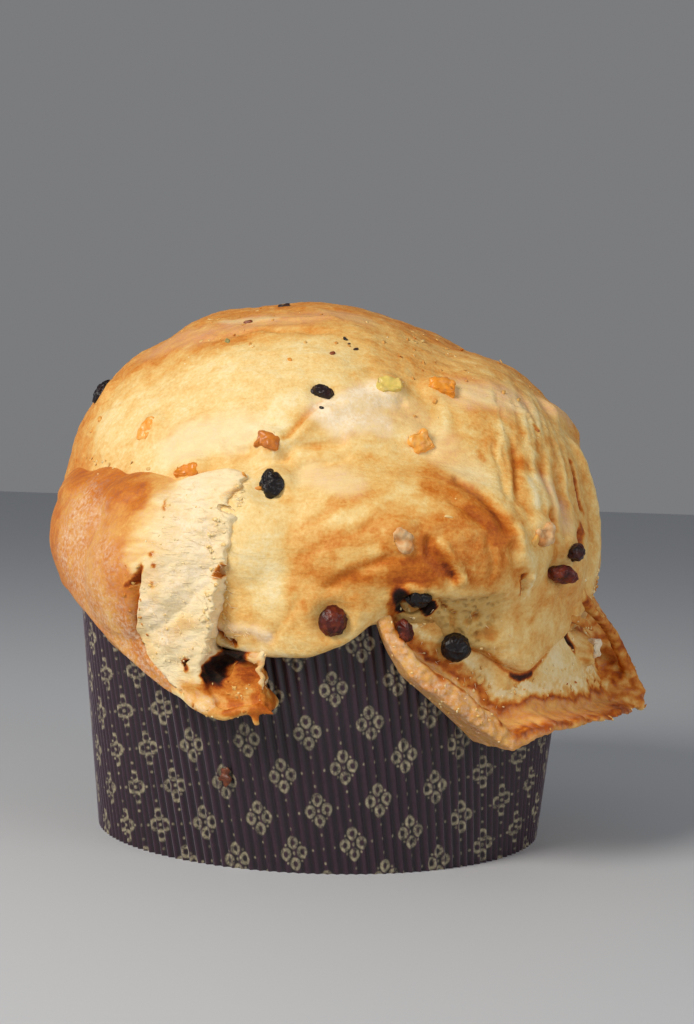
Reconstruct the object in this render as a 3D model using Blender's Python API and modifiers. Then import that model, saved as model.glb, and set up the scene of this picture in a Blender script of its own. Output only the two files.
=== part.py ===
"""A tall fruit loaf baked in a fluted paper case, its crown spilt over the rim in torn, folded flaps.

Metres, +Z up. The origin is the centre of the paper case's base, on the surface that it stands on. -Y is the
front, where the crown has torn open. Angles are in degrees round from the front, positive towards +X.
"""

import math

import bmesh
import bpy
from mathutils import Euler, Matrix, Vector

MM = 0.001

# The paper case: a strip of fluted paper round a flat disc, opened a little by the dough towards its rim.
CASE_HEIGHT = 110 * MM
CASE_FOOT_RADIUS = 85 * MM
CASE_FLARE = 0.105
FLUTE_COUNT = 160
FLUTE_DEPTH = 1.0 * MM
LINER_THICKNESS = 0.6 * MM
FLUTE_LEAN = 10.0
CASE_LEVELS = 2
DISC_THICKNESS = 1.0 * MM

# The loaf: a plug inside the case, under a crown of lobes of dough with flaps that hang from it.
PAPER_GAP = 0.5 * MM
CROWN_CLEARANCE = 0.75 * MM
PLUG_SEGMENTS = 64
LOBE_SEGMENTS = 48
PLUG_TOP = CASE_HEIGHT + 14 * MM
GRAIN = 2.6 * MM
SMOOTHING = 10
CROWN_TRIANGLES = 3350
SHARP_ANGLE = 50
BACK_ROOM_FRONT = 8 * MM
BACK_ROOM_TOP = 104 * MM
BACK_ROOM_SIZE = 300 * MM

# Each lobe, in millimetres and degrees: its centre, its half sizes, and its turn about Y.
LOBES = {
    "dome": ((-6, 4, 106), (95, 96, 96), 0),
    "left_shoulder": ((-44, 8, 122), (59, 74, 68), 0),
    "top_left": ((-34, 4, 128), (54, 70, 70.5), 0),
    "right_shoulder": ((38, 0, 112), (67, 84, 75), 0),
    "right_front": ((47, -31, 112), (50, 58, 46), 16),
    "front": ((16, -55, 111), (68, 51, 37), 0),
    "front_left": ((-22, -56, 112), (40, 46, 34), 0),
    "left_fold": ((-63, -22, 114), (38, 54, 32), 0),
    "left_fold_front": ((-50, -53, 101), (37, 48, 38), 24),
    "back": ((4, 54, 106), (64, 46, 44), 0),
    "back_left": ((-42, 40, 112), (58, 54, 46), 0),
    "back_right": ((44, 38, 108), (60, 54, 44), 0),
}

# Each flap hangs down the outside of the paper: its top's height and reach from the axis, how far it bulges
# in between, how far it is hollowed above its rim, and the points of its lower edge, as angle from the front,
# height, and reach from the axis.
FLAPS = {
    "left_flap": (
        (132, 103), 6, 0,
        ((-88, 101, 100), (-62, 92, 106), (-44, 76, 106), (-30, 62, 106), (-21, 56, 105)),
    ),
    "left_lip": ((78, 98), 0, 4, ((-30, 62, 104), (-16, 54, 104), (-8, 59, 102))),
    "front_skirt": (
        (112, 100), 2, 0,
        ((-24, 78, 98), (-14, 75, 100), (-3, 76, 103), (4, 81, 103), (11, 91, 100)),
    ),
    "right_flap": (
        (104, 97), 0, 6,
        ((8, 93, 100), (14, 78, 103), (24, 60, 107), (37, 45, 111), (52, 49, 114), (66, 51, 118),
         (79, 54, 122), (84, 66, 119), (92, 88, 107)),
    ),
}
FLAP_RIM = 0.12
FLAP_FLOOR = 98
FLAP_CUTS = 23
FLAP_ROOT = 80

# The fruit and nuts on the crown, each half sunk in it: centre, half sizes, and turns about X, Y and Z.
RAISINS = (
    ((-20, -91.5, 133), (4.2, 3.6, 5.6), (-20, -12, 0)),
    ((-4, -70, 165), (4.2, 3, 2.6), (-40, 20, 0)),
    ((-86.8, -16, 164.2), (3.2, 3.6, 5.4), (0, 35, 0)),
    ((2, -102, 89), (4.7, 3.8, 5.6), (0, 15, 0)),
    ((81.4, -72.6, 105), (6.6, 4.2, 3.4), (0, 6, 27)),
    ((87, -67, 112.5), (4.4, 3.2, 3), (0, -20, 52)),
    ((30, -99, 97.5), (4.7, 3.8, 3.4), (0, 0, 16)),
    ((26, -98, 86), (2.9, 3, 4.4), (0, -20, 16)),
    ((44, -88, 80), (5.6, 4.6, 4.9), (0, 10, 30)),
)
PEELS = (
    ((38, -56, 168), (4.6, 3.2, 3), (-45, 10, 5)),
    ((30, -74, 149), (3.8, 2.8, 3.2), (-30, -25, 20)),
    ((-65, -56, 150), (2.6, 2, 4.4), (-25, 8, -45)),
    ((-49, -77, 136), (4.2, 2.4, 2.2), (-35, -8, -25)),
    ((19, -64, 168), (4.2, 2.4, 2.8), (-45, 0, 12)),
    ((-22, -81, 147), (3.8, 2.4, 2.6), (-25, 12, -10)),
)
NUTS = (
    ((24, -103.5, 117), (3.8, 2.8, 3.4), (0, 20, 10)),
    ((73, -79, 119), (4.2, 3, 3.2), (0, -15, 44)),
    ((98, -39, 76), (3.6, 3.4, 3.4), (0, 0, 66)),
)
FRUIT_ROUGHNESS = 0.5
SOCKET_GAP = 0.5
RAISIN_FOLDS = 5
RAISIN_FOLD_DEPTH = 0.16
DICE_TAPER = 0.8
DICE_BEVEL = 0.4


def clear_scene():
    for obj in list(bpy.data.objects):
        bpy.data.objects.remove(obj)


def collection(name):
    made = bpy.data.collections.new(name)
    bpy.context.scene.collection.children.link(made)
    return made


def material(name, colour, roughness, metallic=0.0):
    made = bpy.data.materials.new(name)
    made.use_nodes = True
    shader = made.node_tree.nodes["Principled BSDF"]
    shader.inputs["Base Color"].default_value = (*colour, 1)
    shader.inputs["Roughness"].default_value = roughness
    shader.inputs["Metallic"].default_value = metallic
    return made


def object_from(bm, name, group, finish=None):
    """A new object that holds the bmesh, in the collection group."""
    bmesh.ops.recalc_face_normals(bm, faces=bm.faces)
    mesh = bpy.data.meshes.new(name)
    bm.to_mesh(mesh)
    bm.free()
    made = bpy.data.objects.new(name, mesh)
    group.objects.link(made)
    if finish:
        mesh.materials.append(finish)
        mesh.shade_smooth()
        mesh.set_sharp_from_angle(angle=math.radians(SHARP_ANGLE))
    return made


def outward(angle):
    """The level unit vector at this many degrees from the front."""
    turn = math.radians(angle)
    return Vector((math.sin(turn), -math.cos(turn), 0))


def case_radius(height):
    """The radius of the paper's flute crests at a height."""
    return CASE_FOOT_RADIUS + CASE_FLARE * height


def turned(profile, segments):
    """A closed ring: a loop of (radius, height) points spun round the axis."""
    bm = bmesh.new()
    points = [bm.verts.new((radius, 0, height)) for radius, height in profile]
    loop = [bm.edges.new(pair) for pair in zip(points, points[1:] + points[:1])]
    bmesh.ops.spin(
        bm,
        geom=points + loop,
        axis=(0, 0, 1),
        cent=(0, 0, 0),
        angle=math.tau,
        steps=segments,
        use_merge=True,
    )
    bmesh.ops.remove_doubles(bm, verts=bm.verts, dist=MM / 1000)
    return bm


def frustum(low, high, clearance, segments):
    """A closed cone frustum along the paper's flare, outside its crests by the clearance."""
    bm = bmesh.new()
    bmesh.ops.create_cone(
        bm,
        cap_ends=True,
        segments=segments,
        radius1=case_radius(low) + clearance,
        radius2=case_radius(high) + clearance,
        depth=high - low,
        matrix=Matrix.Translation((0, 0, (low + high) / 2)),
    )
    return bm


def make_case_wall(group, finish):
    """The fluted strip: crests and valleys outside, a flat liner inside, its flutes leaning a little."""
    heights = [CASE_HEIGHT * level / CASE_LEVELS for level in range(CASE_LEVELS + 1)]
    inner = FLUTE_DEPTH + LINER_THICKNESS
    outside = [(case_radius(height), height) for height in heights]
    inside = [(case_radius(height) - inner, height) for height in reversed(heights)]
    steps = 2 * FLUTE_COUNT
    bm = turned(outside + inside, steps)
    for vert in bm.verts:
        radius = math.hypot(vert.co.x, vert.co.y)
        turn = math.atan2(vert.co.y, vert.co.x)
        crest = case_radius(vert.co.z)
        step = round(turn / math.tau * steps)
        if step % 2 and radius > crest - inner / 2:
            radius -= FLUTE_DEPTH
        turn -= vert.co.z * math.tan(math.radians(FLUTE_LEAN)) / crest
        vert.co = (radius * math.cos(turn), radius * math.sin(turn), vert.co.z)
    return object_from(bm, "case_wall", group, finish)


def make_case_base(group, finish):
    """The flat paper disc that the wall is crimped round."""
    bm = bmesh.new()
    radius = case_radius(0) - FLUTE_DEPTH - LINER_THICKNESS - PAPER_GAP
    bmesh.ops.create_cone(
        bm,
        cap_ends=True,
        segments=PLUG_SEGMENTS,
        radius1=radius,
        radius2=radius,
        depth=DISC_THICKNESS,
        matrix=Matrix.Translation((0, 0, DISC_THICKNESS / 2)),
    )
    return object_from(bm, "case_base", group, finish)


def lobe(bm, centre, half_sizes, turn):
    """Adds one lobe of dough: a ball scaled to its half sizes and turned about Y."""
    place = Matrix.Translation(Vector(centre) * MM) @ Matrix.Rotation(math.radians(turn), 4, "Y")
    size = Matrix.Diagonal((*(Vector(half_sizes) * MM), 1))
    bmesh.ops.create_uvsphere(
        bm, u_segments=LOBE_SEGMENTS, v_segments=LOBE_SEGMENTS // 2, radius=1, matrix=place @ size
    )


def edge_at(points, angle):
    """The height and reach of a flap's lower edge at this angle, straight between its points."""
    for (a, low_a, reach_a), (b, low_b, reach_b) in zip(points, points[1:]):
        if angle <= b:
            share = (angle - a) / (b - a)
            return low_a + (low_b - low_a) * share, reach_a + (reach_b - reach_a) * share
    return points[-1][1:]


def flap(bm, top, bulge, hollow, points):
    """Adds one flap: a block bent round the case, out to its lower edge and up into the crown."""
    block = bmesh.new()
    bmesh.ops.create_cube(block, size=1)
    bmesh.ops.subdivide_edges(block, edges=block.edges, cuts=FLAP_CUTS, use_grid_fill=True)
    first, last = points[0][0], points[-1][0]
    for vert in block.verts:
        along, out, rise = (part + 0.5 for part in vert.co)
        angle = first + (last - first) * along
        low, edge_reach = edge_at(points, angle)
        reach = edge_reach + (top[1] - edge_reach) * rise + bulge * math.sin(math.pi * rise)
        if FLAP_RIM < rise and FLAP_RIM < along < 1 - FLAP_RIM:
            reach = max(reach - hollow, FLAP_FLOOR)
        vert.co = outward(angle) * (FLAP_ROOT + (reach - FLAP_ROOT) * out) * MM
        vert.co.z = (low + (top[0] - low) * rise) * MM
    mesh = bpy.data.meshes.new("flap")
    block.to_mesh(mesh)
    block.free()
    bm.from_mesh(mesh)
    bpy.data.meshes.remove(mesh)


def make_crown(group):
    """The lobes and flaps grown together: remeshed as one skin, smoothed, and thinned to a light mesh."""
    bm = bmesh.new()
    for shape in LOBES.values():
        lobe(bm, *shape)
    for shape in FLAPS.values():
        flap(bm, *shape)
    crown = object_from(bm, "crown", group)
    remesh = crown.modifiers.new("grown together", "REMESH")
    remesh.mode = "VOXEL"
    remesh.voxel_size = GRAIN
    smooth = crown.modifiers.new("smoothed", "SMOOTH")
    smooth.iterations = SMOOTHING
    bake(crown)
    thin = crown.modifiers.new("thinned", "DECIMATE")
    thin.ratio = CROWN_TRIANGLES / (2 * len(crown.data.polygons))
    bake(crown)
    return crown


def bake(obj):
    """Applies the object's modifiers."""
    bpy.context.view_layer.update()
    graph = bpy.context.evaluated_depsgraph_get()
    mesh = bpy.data.meshes.new_from_object(obj.evaluated_get(graph))
    obj.modifiers.clear()
    obj.data = mesh


def join_or_cut(target, others, operation):
    """Booleans the others into target, and applies them."""
    for other in others:
        modifier = target.modifiers.new(operation, "BOOLEAN")
        modifier.object = other
        modifier.operation = operation
        modifier.solver = "EXACT"
    bake(target)


def helper(obj):
    obj.hide_render = True
    obj.display_type = "WIRE"
    return obj


def placed(centre, half_sizes, turns, clearance=0.0):
    """The matrix that sizes a unit shape to its half sizes, turns it, and moves it to its centre."""
    turn = Euler([math.radians(angle) for angle in turns]).to_matrix().to_4x4()
    size = Matrix.Diagonal((*((half + clearance) * MM for half in half_sizes), 1))
    return Matrix.Translation(Vector(centre) * MM) @ turn @ size


def raisin(place):
    """A shrivelled oval, drawn in where its folds are."""
    bm = bmesh.new()
    bmesh.ops.create_icosphere(bm, subdivisions=2, radius=1)
    for vert in bm.verts:
        fold = math.sin(RAISIN_FOLDS * math.atan2(vert.co.y, vert.co.z) + vert.co.x)
        vert.co *= 1 - RAISIN_FOLD_DEPTH * (1 + fold) / 2
    bmesh.ops.transform(bm, matrix=place, verts=bm.verts)
    return bm


def diced(place):
    """A diced piece: a cube with its corners cut off, and one end smaller than the other."""
    bm = bmesh.new()
    bmesh.ops.create_cube(bm, size=2)
    for vert in bm.verts:
        if vert.co.x > 0:
            vert.co.z *= DICE_TAPER
    bmesh.ops.bevel(
        bm, geom=bm.edges[:], offset=DICE_BEVEL, segments=1, profile=0.5, affect="EDGES", material=-1
    )
    bmesh.ops.transform(bm, matrix=place, verts=bm.verts)
    return bm


def make_toppings(parts, cutters, name, shape, places, finish):
    """One node for each piece, and a slightly larger copy that cuts its socket."""
    sockets = []
    for number, place in enumerate(places, start=1):
        object_from(shape(placed(*place)), f"{name}_{number}", parts, finish)
        socket = shape(placed(*place, clearance=SOCKET_GAP))
        sockets.append(helper(object_from(socket, f"{name}_{number}_socket", cutters)))
    return sockets


def back_room():
    """The room behind the case, up to where the crown's back overhangs the paper."""
    bm = bmesh.new()
    half = BACK_ROOM_SIZE / 2
    place = Matrix.Translation((0, BACK_ROOM_FRONT + half, BACK_ROOM_TOP - half))
    bmesh.ops.create_cube(bm, size=BACK_ROOM_SIZE, matrix=place)
    return bm


def make_loaf(parts, cutters, sockets, finish):
    """The crown with the case's space cut out of it, joined to the plug that fills the case."""
    loaf = make_crown(parts)
    loaf.name = "loaf"
    case_space = frustum(-DISC_THICKNESS, CASE_HEIGHT + PAPER_GAP, CROWN_CLEARANCE, PLUG_SEGMENTS)
    rooms = (("case_space", case_space), ("back_room", back_room()))
    join_or_cut(loaf, [helper(object_from(room, name, cutters)) for name, room in rooms], "DIFFERENCE")
    wall = FLUTE_DEPTH + LINER_THICKNESS + PAPER_GAP
    plug = frustum(DISC_THICKNESS + PAPER_GAP, PLUG_TOP, -wall, PLUG_SEGMENTS)
    join_or_cut(loaf, [helper(object_from(plug, "plug", cutters))], "UNION")
    join_or_cut(loaf, sockets, "DIFFERENCE")
    loaf.data.materials.clear()
    loaf.data.materials.append(finish)
    loaf.data.shade_smooth()
    loaf.data.set_sharp_from_angle(angle=math.radians(SHARP_ANGLE))
    return loaf


def main():
    clear_scene()
    parts = collection("panettone")
    cutters = collection("cutters")
    paper = material("plum_paper", (0.045, 0.022, 0.03), 0.75)
    bread = material("baked_crust", (0.78, 0.52, 0.22), 0.7)
    make_case_wall(parts, paper)
    make_case_base(parts, paper)
    sockets = []
    for name, shape, places, colour in (
        ("raisin", raisin, RAISINS, (0.03, 0.012, 0.01)),
        ("peel", diced, PEELS, (0.75, 0.3, 0.05)),
        ("nut", diced, NUTS, (0.72, 0.55, 0.36)),
    ):
        sockets += make_toppings(parts, cutters, name, shape, places, material(name, colour, FRUIT_ROUGHNESS))
    make_loaf(parts, cutters, sockets, bread)


main()
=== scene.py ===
"""The looks of a panettone in its fluted paper case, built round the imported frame. Lengths are in millimetres until
they reach a mesh, and places on the bread are (angle, climb): degrees round from the front, and up from the centre."""

import math
import random

import bmesh
import bpy
import numpy as np
from mathutils import Matrix, Vector, noise
from mathutils.bvhtree import BVHTree


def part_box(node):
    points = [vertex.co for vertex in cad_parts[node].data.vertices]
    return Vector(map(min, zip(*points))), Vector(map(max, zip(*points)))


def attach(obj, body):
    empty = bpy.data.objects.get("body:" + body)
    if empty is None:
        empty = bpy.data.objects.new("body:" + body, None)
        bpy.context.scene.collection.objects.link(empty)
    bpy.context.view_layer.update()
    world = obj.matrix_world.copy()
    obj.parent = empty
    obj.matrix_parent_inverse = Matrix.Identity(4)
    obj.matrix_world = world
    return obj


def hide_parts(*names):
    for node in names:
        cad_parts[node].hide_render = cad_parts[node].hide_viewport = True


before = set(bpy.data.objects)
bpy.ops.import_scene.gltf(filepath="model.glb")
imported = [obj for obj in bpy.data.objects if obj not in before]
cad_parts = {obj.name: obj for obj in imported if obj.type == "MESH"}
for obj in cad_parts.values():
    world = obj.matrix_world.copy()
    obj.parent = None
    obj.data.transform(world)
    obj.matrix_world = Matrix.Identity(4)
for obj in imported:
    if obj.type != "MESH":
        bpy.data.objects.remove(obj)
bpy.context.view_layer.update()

MM = 0.001

# The paper case, measured on its CAD node: its height, its crests' radius at the foot, and how it flares.
WALL_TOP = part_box("case_wall")[1]
CASE_HEIGHT = WALL_TOP.z / MM
CASE_FOOT = 85.0
CASE_FLARE = (WALL_TOP.x / MM - CASE_FOOT) / CASE_HEIGHT

# The paper: its thickness, its leaning flutes, how finely each is drawn, and the rings up the wall. Then the disc
# under the bread: its thickness and the hem round it.
PAPER = 0.5
FLUTES = 160
FLUTE_DEPTH = 1.2
FLUTE_LEAN = math.radians(10)
FLUTE_POINTS = 6
WALL_LEVELS = 26
BASE_PAPER = 0.4
BASE_HEM = 4.0

# The print on the paper: the width of a cell over the folded flutes, and its height.
PRINT_PITCH = 22.2
PRINT_ROW = 27.4

# How far the bread keeps off the paper's crests, outside and inside them.
PAPER_GAP = 0.6
PLUG_GAP = 2.1

# Round the back, between these two angles, the crown hangs over the paper only above this height; the shape that
# clears it below reaches well past the bread.
BARE_BACK = (84, 322)
BACK_HANG = 104.0
BACK_REACH = 160

# Angles and climbs are measured from this centre, and lengths over the crown at this reach.
CROWN_CENTRE = np.array((0.0, 0.0, 115.0))
CROWN_REACH = 105.0

# How fine the faces of each skin of dough are.
CROWN_VOXEL = 1.05
CROWN_SKIN_VOXEL = 1.15
FOLD_VOXEL = 0.75
TRAY_VOXEL = 0.8
TRAY_SKIN_VOXEL = 0.7
BACK_VOXEL = 1.2
SCOOP_VOXEL = 0.7

# How far the dough stands above the middle of each kind of fruit, or of one piece.
SUNK_BY = {"raisin": 0.4, "peel": 1.6, "nut": 1.6, "raisin_5": -2.6, "raisin_6": -0.8, "raisin_4": -0.6}
FRUIT_KINDS = ("raisin", "peel", "nut")
FRUIT = {kind: sorted(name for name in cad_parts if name.split("_")[0] == kind) for kind in FRUIT_KINDS}

# The fruit in the pocket lies loose; the crown holds the rest.
TRAY_FRUIT = ("nut_3",)
POCKET_FRUIT = (*TRAY_FRUIT, "raisin_7", "raisin_8", "raisin_9")
CROWN_FRUIT = sorted(name for names in FRUIT.values() for name in names if name not in POCKET_FRUIT)

# Each lobe of dough: its centre, its half sizes, and its turn about Y.
CROWN_LOBES = (
    ((-6, 4, 106), (95, 96, 96), 0),
    ((-44, 8, 122), (59, 74, 68), 0),
    ((-34, 4, 128), (54, 70, 70.5), 0),
    ((38, 0, 112), (67, 84, 75), 0),
    ((20, 6, 121), (62, 76, 75), 0),
    ((47, -31, 112), (50, 58, 46), 16),
    ((16, -55, 111), (68, 51, 37), 0),
    ((-22, -56, 112), (40, 46, 34), 0),
    ((4, 54, 106), (64, 46, 44), 0),
    ((-42, 40, 112), (58, 54, 46), 0),
    ((44, 38, 108), (60, 54, 44), 0),
)
FOLD_LOBES = (
    ((-63, -22, 113), (38, 54, 32), 0),
    ((-50, -52, 101), (37, 48, 38), 24),
    ((-40, -66, 112), (26, 32, 24), 10),
    ((-72, -24, 125), (29, 36, 14), 0),
    ((-84, -18, 126), (17, 28, 13), 0),
    ((-64, -42, 122), (25, 29, 16), 0),
    ((-57, -57, 122), (26, 26, 15), 0),
)

# Dough that hangs over the paper, each as its lower edge and its upper one: (angle, height, distance from the axis).
FRONT_HEM = ((-24, 78, 98), (-14, 75, 100), (-3, 76, 103), (4, 81, 103), (11, 91, 100))
FRONT_CREST = ((0, 112, 100),)
LIP_HEM = (
    (24, 82, 99), (28, 80, 99), (31, 78.5, 100), (35, 77, 101), (37, 74, 102), (39, 73, 102), (43, 70, 103),
    (46, 72, 103), (50, 76, 103), (55, 79, 103), (61, 84, 103), (70, 91, 102), (80, 100, 102),
)
LIP_CREST = ((0, 112, 104),)
FOLD_HEM = (
    (-106, 116, 94), (-96, 110, 99), (-86, 101, 101), (-62, 92, 106), (-44, 76, 106), (-30, 62, 106), (-20, 57, 106),
)
FOLD_CREST = ((-106, 122, 90), (-96, 124, 98), (-86, 126, 102), (-70, 126, 104))
TONGUE_HEM = ((-42, 117, 102), (-35, 118, 106), (-28, 119, 107), (-24, 122, 106), (-21, 127, 103), (-18, 132, 99))
TONGUE_CREST = ((-42, 130, 93), (-34, 133, 94.5), (-29, 136, 93), (-24, 138, 92.5), (-21, 138, 93), (-18, 136, 95))
MOUTH_HEM = ((-30, 62, 105), (-24, 59, 105), (-21, 57, 105), (-18, 55, 105), (-14, 57, 105), (-9.5, 58, 104))
MOUTH_CREST = ((0, 77, 100),)
TRAY_HEM = (
    (9, 92, 100), (12, 80, 103), (16, 70, 106), (24, 60, 108), (32, 50, 110), (36, 45, 111), (41, 48, 112),
    (45, 51, 113), (52, 51, 114), (59, 52, 116), (66, 52, 118), (73, 52, 120), (79, 52, 122), (84, 66, 119),
    (92, 88, 107),
)
TRAY_CREST = ((0, 104, 97),)

# Hollows torn in the dough: (angle, height, distance from the axis, half sizes across, out and up, lean).
CROWN_SCOOPS = (
    (16.8, 94.5, 104, 5.2, 9, 4.0, 0),
    (24, 86, 110, 13, 9, 12, 20),
    (62.5, 135, 104, 1.3, 8, 8, -4),
    (62, 122, 106, 1.6, 6, 5, 0),
    (57, 116.5, 110, 3.6, 7, 4.5, 20),
    (60.5, 82, 103, 2.6, 6, 5.5, -25),
)
FOLD_SCOOPS = (
    (-16.8, 72.4, 106, 5.0, 9.5, 4.6, 30),
    (-12.4, 71.5, 107, 1.9, 5, 5.6, -25),
    (-8.4, 63.4, 104, 2.6, 6, 2.4, 0),
    (-34.4, 99, 118, 1.1, 4, 2.2, 12),
    (-20.4, 104, 108, 1.6, 6, 2.4, 0),
    (-23.2, 72.5, 107, 0.9, 5, 2.0, 25),
    (-20.6, 124.6, 107, 3.4, 9, 1.5, 20),
)
TRAY_SCOOPS = ((61.5, 81, 104, 2.8, 7, 5.0, -25),)

# Rolled and drawn-out edges: runs of (angle, height, distance from the axis, thickness).
LIP_RUNS = (
    ((-27, 63, 106, 1.8), (-24, 59.6, 106.5, 2.0), (-21, 57.6, 107, 2.2), (-18, 56.2, 107, 2.0),
     (-14.5, 58.4, 107, 1.7), (-12, 59.2, 106.5, 1.7), (-10.2, 58.6, 106, 1.2), (-9.0, 57.8, 106, 0.6)),
    ((-12.6, 58, 106, 1.5), (-12.2, 56, 106, 1.4), (-12.0, 54.4, 106, 1.2)),
    ((-10.6, 62, 105, 1.3), (-9.6, 65.5, 105, 1.3), (-9.0, 68, 105, 1.2), (-9.6, 72, 104, 1.3), (-10, 77, 103, 1.4)),
    ((-9.0, 68, 105, 1.2), (-8.3, 68.4, 105.5, 0.7)),
    ((-14.6, 74.4, 103, 1.0), (-13, 76, 104, 1.4), (-11.2, 74.6, 105, 1.3)),
)
TRAY_RUNS = (
    ((55.6, 88, 101, 1.2), (58, 88.2, 102, 1.7), (61, 87.4, 103, 1.9), (65, 85.4, 104, 1.7), (68.6, 83, 105, 1.0)),
    ((58.6, 108, 101, 1.8), (60.6, 101, 102, 2.4), (63, 95, 103.5, 2.4), (69, 89, 106, 2.2), (76, 82, 109.5, 2.2),
     (80, 75, 113, 2.4), (81.5, 66, 117, 2.6), (81, 58, 121, 2.6), (79.5, 53, 122, 2.2)),
    ((60.4, 101, 100, 2.0), (61, 96, 101, 2.4), (63, 92, 102, 2.0)),
)


def linear(hex_colour):
    """An sRGB hex colour as linear RGBA."""
    parts = [int(hex_colour[i:i + 2], 16) / 255 for i in (1, 3, 5)]
    return (*(c / 12.92 if c <= 0.04045 else ((c + 0.055) / 1.055) ** 2.4 for c in parts), 1.0)


def case_radius(height):
    """How far the paper's crests stand from the axis at a height."""
    return CASE_FOOT + CASE_FLARE * height


def smoothstep(low, high, value):
    """Rises softly from 0 at the low value to 1 at the high one."""
    share = np.clip((value - low) / (high - low), 0, 1)
    return share * share * (3 - 2 * share)


def reach_of(points):
    """How far each point stands from the axis."""
    return np.hypot(points[:, 0], points[:, 1])


def angle_of(points):
    """Degrees round from the front, positive to the right."""
    return np.degrees(np.arctan2(points[:, 0], -points[:, 1]))


def directions(points):
    """The unit vectors from the crown's centre to each point."""
    out = points - CROWN_CENTRE
    return out / np.linalg.norm(out, axis=1)[:, None]


def climb_of(dirs):
    """Degrees up from the level of the crown's centre."""
    return np.degrees(np.arcsin(dirs[:, 2]))


def aim(angle, climb):
    """The unit vector at these two angles from the crown's centre."""
    turn, lift = math.radians(angle), math.radians(climb)
    return np.array((math.sin(turn) * math.cos(lift), -math.cos(turn) * math.cos(lift), math.sin(lift)))


def grain(points, size, seed=0.0):
    """Smooth noise from about -1 to 1 whose lumps are size millimetres apart."""
    shift = Vector((seed * 7.3, seed * 3.1, seed * 5.7))
    return np.array([noise.noise(Vector(point) / size + shift) for point in points])


def course(dirs, path):
    """How far each direction lies from a path over the crown, positive on the path's left, and how far along the path
    it is, from 0 to 1."""
    knots = [aim(*place) for place in path]
    lengths = [np.linalg.norm(b - a) for a, b in zip(knots, knots[1:])]
    best = np.full(len(dirs), 9.0)
    side = np.ones(len(dirs))
    share = np.zeros(len(dirs))
    passed = 0.0
    for a, b, length in zip(knots, knots[1:], lengths):
        line = b - a
        part = np.clip((dirs - a) @ line / (line @ line), 0, 1)
        away = np.linalg.norm(dirs - a - part[:, None] * line, axis=1)
        closer = away < best
        best[closer] = away[closer]
        side[closer] = np.sign(dirs @ np.cross(a, b))[closer]
        share[closer] = (passed + part[closer] * length) / sum(lengths)
        passed += length
    return best * side * CROWN_REACH, share


def hanging(path, reach=106.0):
    """A path given as (angle, height) on the dough that hangs over the paper, as (angle, climb)."""
    return tuple((angle, math.degrees(math.atan2(height - CROWN_CENTRE[2], reach))) for angle, height in path)


def keep_off_paper(points):
    """Pushes whatever has come into the paper case's room back out of it."""
    reach = reach_of(points)
    paper = case_radius(points[:, 2]) + PAPER_GAP
    rim = CASE_HEIGHT + PAPER_GAP
    out = np.where((points[:, 2] < rim) & (reach < paper), paper - reach, 0)
    up = np.where((points[:, 2] < rim) & (reach < paper), rim - points[:, 2], 0)
    sideways = out < up
    points = points.copy()
    points[:, :2] *= np.where(sideways, 1 + out / np.maximum(reach, 1), 1)[:, None]
    points[:, 2] += np.where(sideways, 0, up)
    return points


def get_points(mesh):
    """A mesh's vertices in millimetres, one row each."""
    flat = np.empty(len(mesh.vertices) * 3, np.float32)
    mesh.vertices.foreach_get("co", flat)
    return flat.reshape(-1, 3).astype(float) / MM


def set_points(mesh, points):
    """Moves a mesh's vertices to places given in millimetres."""
    mesh.vertices.foreach_set("co", (points * MM).astype(np.float32).ravel())
    mesh.update()


def object_from(bm, name):
    """Turns a finished bmesh into an object, with its faces outwards."""
    bmesh.ops.recalc_face_normals(bm, faces=bm.faces)
    mesh = bpy.data.meshes.new(name)
    bm.to_mesh(mesh)
    bm.free()
    made = bpy.data.objects.new(name, mesh)
    bpy.context.scene.collection.objects.link(made)
    return made


def bake(obj):
    """Applies the object's modifiers."""
    bpy.context.view_layer.update()
    graph = bpy.context.evaluated_depsgraph_get()
    mesh = bpy.data.meshes.new_from_object(obj.evaluated_get(graph))
    obj.modifiers.clear()
    old = obj.data
    obj.data = mesh
    bpy.data.meshes.remove(old)


def remesh(obj, voxel, smoothing):
    """Grows the object's shells together as one skin of even faces, then smooths it."""
    skin = obj.modifiers.new("skin", "REMESH")
    skin.mode = "VOXEL"
    skin.voxel_size = voxel * MM
    smooth = obj.modifiers.new("smooth", "SMOOTH")
    smooth.iterations = smoothing
    bake(obj)


def carve(obj, tool, operation="DIFFERENCE"):
    """Cuts a shape out of the dough, or grows the two together, and clears the shape away."""
    change = obj.modifiers.new("change", "BOOLEAN")
    change.object = tool
    change.operation = operation
    change.solver = "MANIFOLD"
    bake(obj)
    bpy.data.objects.remove(tool)


def add_cone(bm, low, high, gap, segments):
    """Adds a closed cone between two heights that keeps a gap from the case's crests, outwards if it is positive."""
    bmesh.ops.create_cone(
        bm, cap_ends=True, segments=segments, radius1=(case_radius(low) + gap) * MM,
        radius2=(case_radius(high) + gap) * MM, depth=(high - low) * MM,
        matrix=Matrix.Translation((0, 0, (low + high) / 2 * MM)),
    )


def clear_of_paper(obj, bare=None):
    """Cuts away what reaches into the paper case, and what hangs low on it between two angles."""
    below = -5.0
    bm = bmesh.new()
    add_cone(bm, below, CASE_HEIGHT + PAPER_GAP, PAPER_GAP, 192)
    if bare:
        hem = [(angle, below, BACK_REACH) for angle in bare]
        add_block(bm, hem, ((0, BACK_HANG, BACK_REACH),), bulge=0, cuts=12, root=60)
    room = object_from(bm, "room")
    if bare:
        remesh(room, BACK_VOXEL, 0)
    carve(obj, room)


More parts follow.
